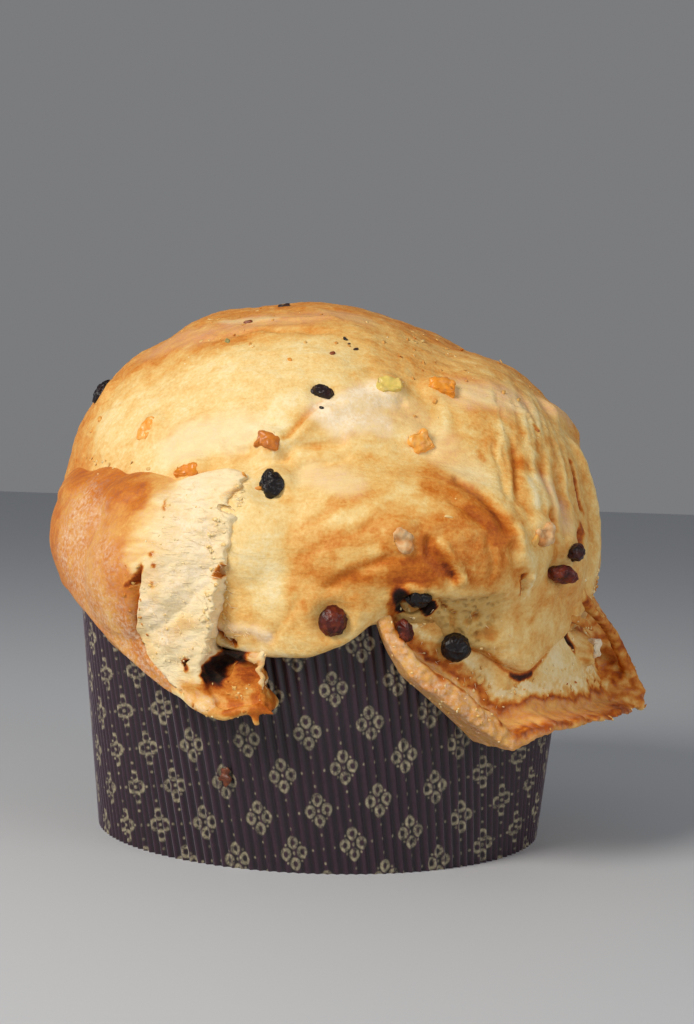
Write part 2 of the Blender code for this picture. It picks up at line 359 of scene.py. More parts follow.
def add_lobes(bm, lobes):
    """Adds one egg-shaped lobe of dough for each row."""
    for centre, half_sizes, turn in lobes:
        place = Matrix.Translation(Vector(centre) * MM) @ Matrix.Rotation(math.radians(turn), 4, "Y")
        size = Matrix.Diagonal((*(Vector(half_sizes) * MM), 1))
        bmesh.ops.create_uvsphere(bm, u_segments=96, v_segments=48, radius=1, matrix=place @ size)


def add_block(bm, hem, crest, bulge, cuts, root=80.0):
    """Adds a block of dough bent round the case, between two edges given as (angle, height, reach)."""
    block = bmesh.new()
    bmesh.ops.create_cube(block, size=1)
    bmesh.ops.subdivide_edges(block, edges=block.edges, cuts=cuts, use_grid_fill=True)
    angles, lows, edges = zip(*hem)
    crest_angles, highs, brims = zip(*crest)
    for vert in block.verts:
        along, out, rise = (part + 0.5 for part in vert.co)
        angle = angles[0] + (angles[-1] - angles[0]) * along
        low = np.interp(angle, angles, lows)
        edge = np.interp(angle, angles, edges)
        high = np.interp(angle, crest_angles, highs)
        brim = np.interp(angle, crest_angles, brims)
        reach = edge + (brim - edge) * rise + bulge * math.sin(math.pi * rise)
        far = (root + (reach - root) * out) * MM
        turn = math.radians(angle)
        vert.co = (far * math.sin(turn), -far * math.cos(turn), (low + (high - low) * rise) * MM)
    mesh = bpy.data.meshes.new("block")
    block.to_mesh(mesh)
    block.free()
    bm.from_mesh(mesh)
    bpy.data.meshes.remove(mesh)


def add_runs(bm, runs):
    """Adds rolls of dough as close rows of balls, which the remesh grows into one."""
    for run in runs:
        knots = [(math.radians(angle), height, reach, thick) for angle, height, reach, thick in run]
        for a, b in zip(knots, knots[1:]):
            length = math.dist((a[0] * a[2], a[1]), (b[0] * b[2], b[1]))
            steps = max(2, int(length / (0.5 * min(a[3], b[3]))))
            for step in range(steps + 1):
                turn, height, reach, thick = (x + (y - x) * step / steps for x, y in zip(a, b))
                place = Matrix.Translation((reach * math.sin(turn) * MM, -reach * math.cos(turn) * MM, height * MM))
                bmesh.ops.create_icosphere(bm, subdivisions=2, radius=thick * MM, matrix=place)


def scoop_out(obj, scoops):
    """Takes each egg-shaped hollow out of the dough."""
    bm = bmesh.new()
    for angle, height, reach, across, out, up, lean in scoops:
        place = Matrix.Rotation(math.radians(angle), 4, "Z") @ Matrix.Translation((0, -reach * MM, height * MM))
        shape = Matrix.Rotation(math.radians(lean), 4, "Y") @ Matrix.Diagonal((across * MM, out * MM, up * MM, 1))
        bmesh.ops.create_uvsphere(bm, u_segments=40, v_segments=24, radius=1, matrix=place @ shape)
    hollows = object_from(bm, "hollows")
    remesh(hollows, SCOOP_VOXEL, 2)
    carve(obj, hollows)


def move_out(points, dirs, amount):
    """Moves each point along its direction."""
    return points + dirs * amount[:, None]


def valley(dirs, path, width, depth):
    """A soft groove along a path, fading at both ends; a negative depth makes a ridge."""
    off, share = course(dirs, path)
    ends = smoothstep(0, 0.15, share) * smoothstep(0, 0.15, 1 - share)
    return -depth * np.exp(-(off / width) ** 2) * ends


# Creases, ridges and strands of the crown: (path, width, depth). A negative depth stands out.
CROWN_VALLEYS = (
    (((-1, 35), (-4, 32), (-6, 29.5), (-8, 27), (-10, 24), (-12, 21.5)), 1.8, 2.0),
    (((-12, 17), (-9, 23), (-4, 28), (1, 31), (8, 34), (16, 35)), 4.6, -1.8),
    (((-13, 15), (-11, 18), (-8, 21), (-3, 21.5), (1, 22), (5, 24)), 2.4, 1.5),
    (((-8, 15), (-5, 16.5), (0, 17), (5, 19)), 1.8, 1.2),
    (((-27, 20.5), (-22, 19), (-16, 18.5)), 1.5, 1.5),
    (((-20, 24), (-17, 20), (-15, 17)), 1.4, 1.1),
    (((17, 36), (19, 38), (22, 37.5)), 1.6, 1.4),
    (((15, 35), (18, 34), (21, 34.5)), 2.4, 1.6),
    (((25, 13.5), (27, 12), (30, 10), (31.5, 7), (34, 2)), 2.4, 1.8),
    (((24, 11), (26, 8.5), (28.5, 5.5), (31, 2.5)), 0.8, -0.5),
    (((22.5, 9), (25, 6), (28, 2.5)), 1.0, 0.9),
    (((47, 32), (43.5, 26), (40.5, 20), (37.5, 12)), 0.7, -0.7),
    (((42.5, 23), (41, 17), (38.5, 11), (37, 7.5)), 0.8, -0.6),
    (((45, 24), (43.2, 17), (40.4, 12), (38.6, 7)), 1.3, 1.0),
    (((39, 22), (38.4, 16), (36, 9)), 1.3, 0.9),
    (((49, 31), (51, 29.5), (53, 28), (54, 24)), 0.8, -0.8),
    (((63, 17), (62.4, 12), (62.2, 9), (62.6, 6)), 1.0, 4.0),
    (((69, 24), (71, 14), (70, 4), (68, -4), (67, -10), (65, -15)), 4.0, -2.2),
    (((17, 2), (18, -1), (21, -4), (24, -6.5)), 1.5, 2.0),
    (((19.6, 1.5), (22, -2), (25.4, -7.5)), 1.1, -1.6),
    (((28, 2), (29.5, -2), (30, -6)), 1.3, 0.8),
    (((47, 7), (47, 1), (47, -2)), 1.6, 1.7),
    (((57, 17), (53, 9), (48.6, 3)), 1.8, 1.5),
    (((35, 4), (37.5, -1), (40, -7)), 2.4, -1.6),
    (((33, 1), (35, -3), (36.4, -8)), 1.6, 1.0),
    (((37.4, -4.5), (37.8, -7), (38.6, -9.5)), 0.8, 2.0),
    (((39, -5), (40, -8)), 0.9, -1.3),
    (((-6, 2), (-1, 5.5), (6, 9), (13, 11.5)), 1.5, 0.5),
    (((-7, -4), (0, 0), (5, 2), (10, 5.5)), 1.6, 0.5),
    (((-2, -10), (3, -6), (9, -3), (16, -0.5)), 1.8, 1.0),
    (((-2, 7), (6, 11), (14, 13.5)), 1.4, 0.4),
    (((-11, -19.5), (-8.4, -15.5), (-6, -12), (-4.6, -8.6)), 1.3, 0.8),
    (((-20, -16.8), (-14, -16.6), (-10, -18)), 1.5, -0.7),
    (((-21.4, -17.6), (-20, -19), (-17.6, -20.2)), 1.0, 3.2),
    (((20.4, -9.4), (22.4, -11), (23.6, -12.4), (26, -14)), 0.7, 1.6),
    (((12.5, -8.6), (15, -7.4), (17.6, -8.6)), 1.6, -1.6),
    (((48, -10), (55, -11), (61, -14)), 3.0, 1.2),
    (((68, 30), (78, 27), (84, 22)), 5.0, -2.4),
    (((-60, 47), (-38, 55), (-14, 57), (4, 58)), 2.0, 1.0),
    (((-46, 61), (-22, 64), (4, 65)), 2.0, -1.0),
)

# Baking and flour over the bread: (path, half width, soft edge, level, strength). A later mark lies over the others.
# In the browning tables some marks are painted shade: levels of 1.2 and above in hollows, holes and slits, and dark
# lines in slits, in a notch and under the pocket's lip. One pale mark on the tray's dish is painted light.
CROWN_BROWNING_AND_SHADE = (
    (((-75, 40), (-61, 48), (-45, 58), (-20, 65), (10, 68), (40, 66), (75, 56), (100, 40)), 8, 7, 0.50, 0.95),
    (((-100, 20), (-90, 60), (180, 70), (110, 30)), 60, 30, 0.50, 0.95),
    (((112, 6), (150, 14), (180, 6), (210, 14), (250, 4)), 22, 24, 0.46, 0.8),
    (((-60, 58), (-47, 61), (-34, 63)), 1.6, 3, 0.2, 0.6),
    (((-66, 52), (-37, 55.5), (-16, 57.5), (2, 58.5), (14, 60)), 1.3, 2, 0.46, 0.85),
    (((22, 54), (44, 42), (60, 26), (68, 8)), 21, 15, 0.37, 0.9),
    (((30, 46), (46, 40), (58, 32)), 2.5, 4, 0.52, 0.6),
    (((48, 24), (55, 14), (56, 6)), 3, 4, 0.50, 0.6),
    (((-60, 24), (-45, 32), (-25, 40), (-5, 44)), 17, 12, 0.17, 1.0),
    (((-74, 26), (-66, 34), (-58, 42)), 4, 7, 0.28, 0.7),
    (((-44, 16), (-30, 20), (-20, 24)), 8, 7, 0.17, 0.95),
    (((-14, 30), (-16, 24), (-14, 19)), 5, 5, 0.05, 0.9),
    (((-10, 16), (0, 22), (10, 24), (20, 22)), 7, 6, 0.19, 0.85),
    (((-16, 10), (-14, 0), (-11, -9)), 9, 7, 0.13, 1.0),
    (((-17, -11), (-15, -16)), 3, 4, 0.40, 0.6),
    (((-4, 8), (8, 8), (18, 6)), 8, 7, 0.23, 0.9),
    (((-4, -3), (6, -2), (12, 2)), 7, 6, 0.40, 0.9),
    (((-2, -9), (8, -5), (18, 0), (27, -3)), 8.5, 5, 0.50, 0.9),
    (((10, 3), (16, 6), (22, 9)), 4, 4, 0.42, 0.7),
    (((-4, 3), (0, 6), (6, 9), (12, 11)), 1.3, 2.0, 0.42, 0.8),
    (((-5, -3), (0, 0), (5, 2), (9, 5)), 1.6, 2.2, 0.50, 0.85),
    (((0, -9), (4, -5), (9, -3), (15, -1)), 2.0, 2.4, 0.58, 0.9),
    (((0, 8), (6, 11), (13, 13)), 1.3, 2.0, 0.38, 0.7),
    (((10, -1), (15, 1), (18, 3), (20, 4)), 3.5, 3, 0.56, 0.9),
    (((1, -9), (8, -6.5), (14, -5.5), (18, -4.5), (23, -6)), 4.8, 3, 0.68, 1.0),
    (((12, -7), (18, -6)), 1.4, 2.5, 0.84, 0.8),
    (((17, 1), (18, -1), (21, -4), (24, -6)), 2.0, 2, 0.80, 0.95),
    (((21, -3.5), (23, -5.5), (24.3, -7)), 0.8, 1.0, 1.05, 0.9),
    (((3, -2), (8, -1)), 1.6, 2, 0.24, 0.7),
    (((6, -5), (10, -4.4)), 0.8, 1.2, 0.40, 0.7),
    (((19.8, 1), (22, -2), (25.2, -7)), 0.8, 1.0, 0.24, 0.85),
    (((24, 0), (28, -2), (31, -4), (35, -6.4)), 4.6, 3.5, 0.55, 0.9),
    (((26, -8), (30, -8.6), (36, -9)), 1.6, 2, 0.48, 0.7),
    (((-2, -10), (4, -11), (9, -10)), 4, 4, 0.30, 0.7),
    (((-4, -22), (3, -19), (8, -15)), 3, 3, 0.30, 0.7),
    (((13, -8.4), (15, -7.4), (17.4, -8.4)), 1.4, 0.9, 0.42, 1.0),
    (((-11, -19.5), (-8.4, -15.5), (-6, -12), (-4.8, -9)), 0.8, 1.8, 0.38, 0.7),
    (((-20, -21), (-12, -20.5), (-8, -21.5)), 1.8, 2, 0.06, 0.9),
    # Painted shade: the slit below the tear is painted dark along its groove.
    (((-21.4, -17.6), (-20, -19), (-17.8, -20)), 1.0, 0.8, 1.05, 0.95),
    (((-3, 33), (-6, 30), (-8, 27), (-10, 24), (-11.6, 22)), 0.9, 1.0, 0.50, 0.9),
    (((-16.5, 21), (-14.5, 19.5)), 2.2, 1.6, 0.44, 0.8),
    (((-11, 17), (-8, 20.6), (-3, 21.4), (2, 22.6), (5, 24.6)), 1.2, 1.6, 0.36, 0.85),
    (((39, 29), (39, 25), (38, 21)), 3.5, 4, 0.50, 0.8),
    (((35, 19.4), (35.2, 18)), 1.2, 1.2, 0.60, 0.9),
    (((46, 31), (43, 25), (40, 20), (37.2, 12.5)), 0.5, 1.0, 0.14, 0.7),
    (((42.2, 22), (41, 17), (38.2, 11), (37.4, 8.6)), 0.5, 1.0, 0.2, 0.7),
    (((44.6, 22), (43, 17), (40.2, 12), (38.4, 8)), 0.7, 1.4, 0.58, 0.8),
    (((22, 12), (27, 7), (32, 3)), 6, 6, 0.58, 0.85),
    (((26, 12.5), (30, 10), (31.2, 7), (33.6, 2.5)), 2.1, 1.8, 0.60, 0.95),
    (((31, 7), (33, 3)), 0.7, 1, 0.80, 0.7),
    (((26.5, 6.4), (28.6, 5.2), (30, 3.6)), 1.8, 2, 0.74, 0.85),
    (((43, 16), (47, 16), (49, 15)), 2.6, 2.2, 0.58, 0.8),
    (((42.4, 13), (41.4, 9), (41, 6)), 1.0, 1.5, 0.54, 0.7),
    (((44.2, 13), (43.6, 10), (43, 7)), 1.0, 1.0, 0.12, 0.85),
    (((39, 8), (42, 6), (45, 6)), 1.8, 2, 0.52, 0.7),
    (((50, 30), (53, 28), (54, 25)), 0.6, 0.6, 0.28, 0.9),
    (((54, 25), (54.6, 23.4)), 0.8, 0.8, 0.68, 0.9),
    (((57, 22), (56, 19)), 1.8, 1.8, 0.58, 0.75),
    (((70, 24), (72, 12), (70, 2), (68, -8), (66, -14)), 3.2, 3, 0.20, 0.9),
    # Painted shade: the slit at the right is painted dark along its deep groove.
    (((63, 16.5), (62.2, 12), (62, 9), (62.6, 6)), 1.2, 0.9, 0.90, 0.95),
    (((62.4, 6), (61.6, 3.6)), 1.3, 1.0, 0.46, 0.9),
    (((59, 3), (56, 0)), 2.8, 2, 0.84, 0.95),
    (((47, 6.4), (47, 1), (47, -2)), 1.4, 1.6, 0.56, 0.75),
    (((36, 3), (38, -2), (39.4, -5)), 1.3, 1.6, 0.20, 0.75),
    (((37.4, -5), (37.8, -7), (38.4, -9)), 0.6, 0.5, 1.05, 0.95),
    (((39.2, -5.4), (40.4, -8.4)), 0.8, 0.6, 0.05, 1.0),
    (((46, -9), (55, -9), (62, -12)), 6, 5, 0.42, 0.85),
    (((34, -8), (34, -13), (36, -18)), 4, 4, 0.30, 0.85),
    (((45, -8.6), (44, -12), (43, -14)), 0.9, 1, 0.46, 0.7),
    (((37.4, -9.6), (39.4, -14), (40.4, -19), (40.2, -21.5)), 1.6, 1.8, 0.42, 0.8),
    (((23, -10.6), (29, -13), (33, -18), (37, -21)), 7, 3, 0.24, 0.9),
    (((20.6, -14.6), (20.8, -17), (18.6, -18.6)), 2.2, 2, 0.42, 0.8),
    (((12.0, -11), (12.8, -14), (13.8, -16.4)), 1.2, 1.2, 0.80, 0.95),
    # Painted shade: this mark and the next paint the hollow round raisin_7 near black.
    (((14.4, -11.2), (17, -10.8), (19.6, -11.4)), 2.5, 0.9, 1.5, 1.0),
    (((19.4, -11.4), (19.8, -12.8)), 1.6, 0.8, 1.4, 1.0),
    (((20.7, -9.4), (22.3, -10.8), (23.5, -11.8), (25.8, -13)), 0.2, 0.6, 0.95, 0.9),
    # Painted shadow: a dark line along the pocket lip's lower edge, where it overhangs the tray.
    (((31, -20.2), (35, -21), (38.6, -23.2), (43, -24.6), (47, -23), (51, -21.4), (56, -19)), 0.5, 0.7, 0.8, 0.7),
    # Painted shade: the hole beside the pocket is painted near black.
    (((60, -17.6), (62, -20)), 1.2, 1.2, 1.3, 0.95),
    # Painted shade: the left end of the hollow round raisin_7, near black.
    (((12.8, -9.0), (14.6, -10.6)), 1.8, 1.2, 1.4, 1.0),
)
CROWN_FLOUR = (
    (((-2, 30), (5, 33), (11, 35.5), (17, 34)), 5, 6, 0.95),
    (((2, 28), (12, 29)), 5, 6, 0.8),
    (((-5, 14), (4, 12)), 4, 4, 0.34),
    (((20, 30), (28, 22), (30, 15)), 6, 6, 0.18),
    (((-75, 44), (-61, 50), (-45, 59), (-20, 65), (10, 68)), 6, 7, 0.18),
    (((-38, 19), (-24, 23)), 7, 7, 0.4),
    (((40, 36), (55, 32)), 7, 8, 0.35),
    (((-60, 58), (-47, 61), (-34, 63)), 1.6, 3.5, 0.3),
    (((-20.5, -16.8), (-14, -16.8), (-11, -17.8)), 1.3, 1.6, 0.6),
    (((68, 30), (78, 27)), 4, 4, 0.25),
    (((49, 12), (52, 4)), 3, 4, 0.35),
)
FOLD_BROWNING = (
    (((-80, 13), (-66, 12), (-54, 10), (-44, 9), (-38, 8)), 7, 6, 0.66, 1.0),
    (((-40, 12), (-36, 9), (-34, 6)), 3, 4, 0.44, 0.9),
    (((-76, 6), (-68, -4), (-62, -12)), 9, 6, 0.60, 1.0),
    (((-60, 2), (-52, 0), (-46, -6)), 7, 5, 0.50, 0.8),
    (((-44, 3), (-40, 1), (-35, 0)), 3.6, 3, 0.50, 0.9),
    (((-43, -8), (-42, -14), (-41, -19)), 4, 3, 0.50, 0.8),
    (((-36.6, -8), (-36.4, -13), (-37, -18), (-34.4, -23)), 2.2, 1.8, 0.60, 0.9),
)
TORN_BROWNING_AND_SHADE = (
    (((-31.6, -7.4), (-30, -10)), 3.8, 3, 0.32, 0.95),
    (((-31, -8), (-30.8, -8.4)), 0.8, 0.6, 0.52, 1.0),
    (((-27, -16.6), (-24, -15)), 2.2, 2.5, 0.36, 0.8),
    (((-29, -17.5), (-27, -19)), 2, 2.4, 0.26, 0.8),
    (((-24, 3), (-22.6, -3)), 2, 3, 0.16, 0.8),
    (((-31, 6), (-29.6, 2), (-29, -2)), 2.5, 4, 0.22, 0.8),
    (((-27, -6), (-26, -11)), 1.8, 3, 0.20, 0.7),
    (((-33.5, -12), (-33, -17), (-30, -21)), 1.4, 2, 0.24, 0.8),
    (((-27, 16), (-22, 15.4)), 2, 3, 0.22, 0.6),
    (((-21.4, 7.6), (-17.6, 10)), 0.8, 0.8, 0.38, 0.8),
    (((-33.4, -5), (-34, -9), (-34, -12), (-35, -17), (-33, -21), (-30, -23.2), (-26.4, -26)), 0.35, 0.6, 0.9, 0.95),
    (((-35.4, -8.4), (-34.2, -7.6), (-33.2, -5.6)), 1.1, 0.8, 0.92, 1.0),
    (((-32, -3), (-31.9, -3.3)), 0.6, 0.6, 0.8, 1.0),
    (((-31.2, -4.8), (-31, -5.1)), 0.5, 0.5, 0.8, 1.0),
    (((-33.2, 6.6), (-32.8, 4.6)), 0.4, 0.6, 0.62, 0.9),
    (((-23, -25.5), (-18, -29), (-13, -28), (-9.6, -28.6)), 4.6, 2.5, 0.42, 1.0),
    (((-17, -23.6), (-15.4, -25)), 2.6, 1.6, 0.62, 1.0),
    (((-22, -27), (-20, -26)), 1.6, 1.6, 0.24, 0.9),
    (((-11.6, -27.6), (-8.6, -29.4)), 2.0, 1.2, 0.76, 0.95),
    (((-17.4, -27.8), (-15.4, -27.8)), 0.9, 0.8, 0.80, 0.7),
    (((-13.4, -21.4), (-11.4, -24), (-9.8, -25)), 3.0, 2.2, 0.64, 1.0),
    (((-9.4, -22), (-8.4, -24.4)), 1.0, 1.0, 0.36, 1.0),
    (((-14.4, -20.8), (-13, -20.2), (-11.4, -21)), 1.0, 0.8, 0.34, 1.0),
    (((-13.4, -23.6), (-12, -24)), 1.5, 1.2, 0.82, 0.7),
    (((-20, -25.4), (-15, -26)), 2.0, 1.6, 0.62, 1.0),
    # Painted shade: the inside of the mouth's hollow is painted near black.
    (((-18.4, -23.8), (-16.8, -22.2), (-15, -20.4)), 3.0, 1.8, 1.4, 1.0),
    # Painted shade: the small crevice at the mouth's left is painted dark.
    (((-23.6, -21), (-22.8, -22.4)), 1.0, 0.8, 1.0, 0.95),
    # Painted shadow: the notch under the tear edge is painted dark brown.
    (((-20.6, -5), (-20.4, -6.6)), 1.2, 1.0, 0.72, 0.9),
)
FOLD_FLOUR = (
    (((-56, 3), (-57, -2), (-54, -8), (-48, -11), (-42, -14), (-38, -19), (-34, -24)), 9, 8, 0.42),
    (((-50, 4), (-46, -1), (-40, -5)), 4, 6, 0.34),
)
TORN_FLOUR = (
    (((-31, -12), (-29, -15)), 3.6, 3, 0.8),
    (((-29, 8), (-26, 0), (-26, -6)), 6, 6, 0.78),
)
TRAY_BROWNING_LIGHT_AND_SHADE = (
    (((36, -21), (41, -22.4), (46, -23)), 4.0, 4.0, 0.34, 0.9),
    # Painted shade: the tray's side of the hollow round raisin_7, near black.
    (((12.4, -9.2), (14.8, -10.8), (17, -11)), 2.2, 1.2, 1.4, 1.0),
    (((36.4, -22.6), (38.4, -24.6), (39.6, -27)), 2.0, 2.5, 0.40, 0.8),
    # Painted shade: the tray's floor just below the hollow round raisin_7 is painted browner.
    (((16, -13), (20, -15.4), (23.6, -17)), 2.6, 2.0, 0.44, 0.9),
    (((39.6, -26.4), (44, -27.4)), 2.6, 2.0, 0.34, 0.7),
    # Partly pale crumb and partly painted light: the dish's middle is kept pale against the crown's shade.
    (((53, -18.6), (57, -23.4), (59, -26.6)), 4.0, 5.0, 0.06, 0.9),
    (((70, -21.6), (76, -23.4), (82, -25)), 4.0, 3.0, 0.58, 0.95),
    (((58, -4), (61, -8.4), (68, -12.4), (78, -18.6), (82, -24)), 5.0, 3.0, 0.64, 0.95),
    (((84, -30), (88, -20), (92, -10)), 9.0, 3.0, 0.56, 0.95),
    (((57.4, -6.6), (59.6, -9.4), (64.6, -12.8)), 1.2, 1.2, 0.92, 0.95),
    (((61, -8.4), (61.6, -10.8)), 1.6, 1.2, 0.30, 0.9),
    (((63.6, -14.6), (69, -18), (66, -21.4)), 2.6, 2.5, 0.40, 0.9),
    (((56, -14.6), (60.4, -15), (68.8, -17)), 1.8, 1.0, 0.54, 1.0),
    # Painted shade: the hole beside the pocket is painted near black.
    (((59.4, -16.6), (61.6, -18.4), (63, -20.6)), 1.0, 1.2, 1.3, 1.0),
    # Painted shadow: a dark line on the tray along the lip's lower edge.
    (((30.6, -20.4), (35, -21.4), (38.6, -23.6), (43, -25), (47.4, -23.6), (52, -21.6), (58, -18)), 0.5, 0.8, 0.9, 0.8),
    # Painted shade: the slit under the lip is painted near black.
    (((40.6, -24.6), (43, -25.2), (46.4, -24.4)), 0.45, 0.8, 1.2, 1.0),
)

# Burst bubbles of the open crumb under the torn edge: (angle, height, half width), in millimetres.
CRUMB_BUBBLES = (
    (30.6, 90.4, 2.3), (34.8, 90.2, 1.8), (28.7, 95.2, 2.1), (34.2, 84.4, 3.2), (31.6, 83.6, 2.2), (38.3, 78.6, 2.2),
    (41.1, 78.4, 1.7), (40.2, 81.6, 1.2), (26.4, 96.3, 2.2), (32.2, 93.4, 1.6), (37.5, 86.3, 1.2), (25.6, 88.6, 1.7),
)


def paint(points, base, marks):
    """A value for every point of the bread, from a base level and the marks laid over it."""
    wobble = 4.0 * grain(points, 11, 21) + 2.0 * grain(points, 4, 22) + 0.8 * grain(points, 1.8, 23)
    dirs = directions(points)
    value = np.full(len(points), float(base))
    for path, half_width, soft, level, *strength in marks:
        off, _ = course(dirs, path)
        reach = np.abs(off) + wobble * min(1.0, (half_width + soft) / 10)
        mask = (1 - smoothstep(half_width - soft / 2, half_width + soft, reach)) * (strength[0] if strength else 1)
        value += (level - value) * mask
    return value


def keep_on(obj, name, values):
    """Keeps one value for each vertex, which the material reads."""
    attribute = obj.data.attributes.new(name, "FLOAT", "POINT")
    attribute.data.foreach_set("value", np.asarray(values, np.float32))


def pits(points, reach):
    """How far the open crumb sinks into its burst bubbles: the large ones, then a scatter of small ones."""
    draw = random.Random(7)
    bubbles = list(CRUMB_BUBBLES)
    bubbles += [(draw.uniform(20, 44), draw.uniform(77, 97), draw.uniform(0.8, 1.7)) for _ in range(60)]
    sunk = np.zeros(len(points))
    for angle, height, size in bubbles:
        turn = math.radians(angle)
        centre = np.array((math.sin(turn) * reach, -math.cos(turn) * reach, height))
        away = np.linalg.norm((points - centre) * (1, 0.4, 1), axis=1) / size
        sunk = np.maximum(sunk, 0.55 * size * np.clip(1 - away ** 2, 0, 1) ** 0.6)
    return sunk


def settle(points, dirs, lift, names):
    """Brings the dough up round each piece of fruit, so that the piece sits half sunk in it."""
    for name in names:
        height = SUNK_BY.get(name, SUNK_BY[name.split("_")[0]])
        low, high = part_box(name)
        centre = np.array((low + high) / 2) / MM
        size = max(high - low) / MM / 2
        out = centre - CROWN_CENTRE
        out[2] = max(out[2], 0)
        out /= np.linalg.norm(out)
        apart = points - centre
        above = apart @ out
        beside = np.linalg.norm(apart - above[:, None] * out, axis=1)
        near = (1 - smoothstep(size * 0.8, size * 1.6 + 1.5, beside)) * (np.abs(above) < 10)
        lift = lift * (1 - near) + near * (height - above) / np.maximum(dirs @ out, 0.5)
    return lift


def fill_case(obj):
    """Grows the crown together with the plug of bread that fills the paper case."""
    bm = bmesh.new()
    add_cone(bm, 1.5, CASE_HEIGHT + 12, -PLUG_GAP, 96)
    carve(obj, object_from(bm, "plug"), "UNION")


def drawn_strands(points, angle, climb):
    """Long ridges where the skin is drawn down at the right of the crown, leaning more the further right they are."""
    lean = np.interp(angle, (25, 36, 45), (-0.85, -0.2, 0.16))
    across = angle * np.cos(np.radians(climb)) - lean * climb
    chart = np.stack((across, 0.15 * climb, np.zeros(len(points))), axis=1)
    drawn = smoothstep(20, 34, angle) * (1 - smoothstep(62, 72, angle))
    drawn *= smoothstep(-6, 6, climb) * (1 - smoothstep(30, 42, climb))
    return drawn * (grain(chart, 3.0, 35) + 0.6 * grain(chart, 1.3, 36))


def open_crumb(points, angle):
    """Where the crumb lies open under the brow at the right: 1 inside the window, 0 outside it."""
    brow = 97.6 + 2.2 * grain(points, 8, 24) + 0.8 * grain(points, 3, 29)
    beside = smoothstep(11, 15, angle) * (1 - smoothstep(31, 38, angle))
    return beside * (1 - smoothstep(brow - 1, brow + 1, points[:, 2]))


def make_crown():
    """Shapes the domed crown with the plug below it, then draws its creases and sinks its fruit."""
    bm = bmesh.new()
    add_lobes(bm, CROWN_LOBES)
    add_block(bm, FRONT_HEM, FRONT_CREST, 2, 40)
    add_block(bm, LIP_HEM, LIP_CREST, 1, 40)
    crown = object_from(bm, "crown")
    remesh(crown, CROWN_VOXEL, 28)
    scoop_out(crown, CROWN_SCOOPS)
    clear_of_paper(crown, BARE_BACK)
    remesh(crown, CROWN_SKIN_VOXEL, 6)
    fill_case(crown)
    points = get_points(crown.data)
    dirs, reach, angle = directions(points), reach_of(points), angle_of(points)
    lift = 1.2 * grain(points, 38, 1) + 0.7 * grain(points, 15, 2)
    lift = lift + 0.4 * grain(points, 5, 3) + 0.2 * grain(points, 2.4, 28)
    loose = directions(points + 1.6 * grain(points, 9, 4)[:, None])
    for path, width, depth in CROWN_VALLEYS:
        lift += valley(loose, path, width, depth)
    strands = drawn_strands(points, angle, climb_of(dirs))
    lift += 0.8 * strands
    window = open_crumb(points, angle)
    bubbles = window * pits(points, 101)
    lift -= window * 1.6 + bubbles
    lift = settle(points, dirs, lift, CROWN_FRUIT)
    inside = (points[:, 2] < CASE_HEIGHT) & (reach < case_radius(points[:, 2]))
    lift *= (points[:, 2] > CASE_HEIGHT) | (reach > case_radius(points[:, 2]))
    moved = keep_off_paper(move_out(points, dirs, lift))
    set_points(crown.data, np.where(inside[:, None], points, moved))
    # The burst bubbles' pits are browned by 0.4 for each millimetre of their depth: painted shade in them.
    keep_on(crown, "browning_and_shade", paint(points, 0.3, CROWN_BROWNING_AND_SHADE) + 0.4 * bubbles - 0.24 * strands)
    keep_on(crown, "flour", paint(points, 0.0, CROWN_FLOUR))
    keep_on(crown, "crumb", window)
    return crown


def round_the_axis(points):
    """The level unit vectors outwards and sideways at each point."""
    out = np.stack((points[:, 0], points[:, 1], np.zeros(len(points))), axis=1)
    out /= np.linalg.norm(out, axis=1)[:, None]
    return out, np.stack((-out[:, 1], out[:, 0], out[:, 2]), axis=1)


# Where the fold's skin ends and its torn inside begins, as angles at climbs; how far the torn side's own edge is
# pulled sideways, as lengths at heights; and the long crack along the skin's end.
SKIN_END = (
    (-26, -23, -21, -17, -12, -9, -5, -2, 3, 6, 10, 16),
    (-26, -30, -33, -35, -34, -34, -35.5, -36.5, -36.5, -36, -36, -39),
)
TORN_END = ((72, 81, 95, 105, 114, 122, 128), (-4.4, -3.0, 0.0, 1.1, 2.8, 3.4, 0.0))
FOLD_CRACK = ((-33.2, -4), (-34, -9), (-34, -12), (-35, -17), (-33, -21), (-30, -23.2), (-26, -26.4))


def torn_side(points, angle, climb):
    """How torn the fold is at each point: 0 on its skin, and 1 on the pale crumb right of it."""
    feather = 2.8 * grain(points * (0.6, 0.6, 1.4), 6, 5) + 1.6 * grain(points * (0.5, 0.5, 1.4), 2.4, 25)
    feather *= 0.3 + 0.7 * smoothstep(-7, -3, climb)
    blend = 0.6 + 4.4 * smoothstep(-7, -3, climb)
    torn = smoothstep(-0.4, 1.0, (angle - np.interp(climb, *SKIN_END) + feather) / blend)
    return torn * smoothstep(60, 66, points[:, 2])


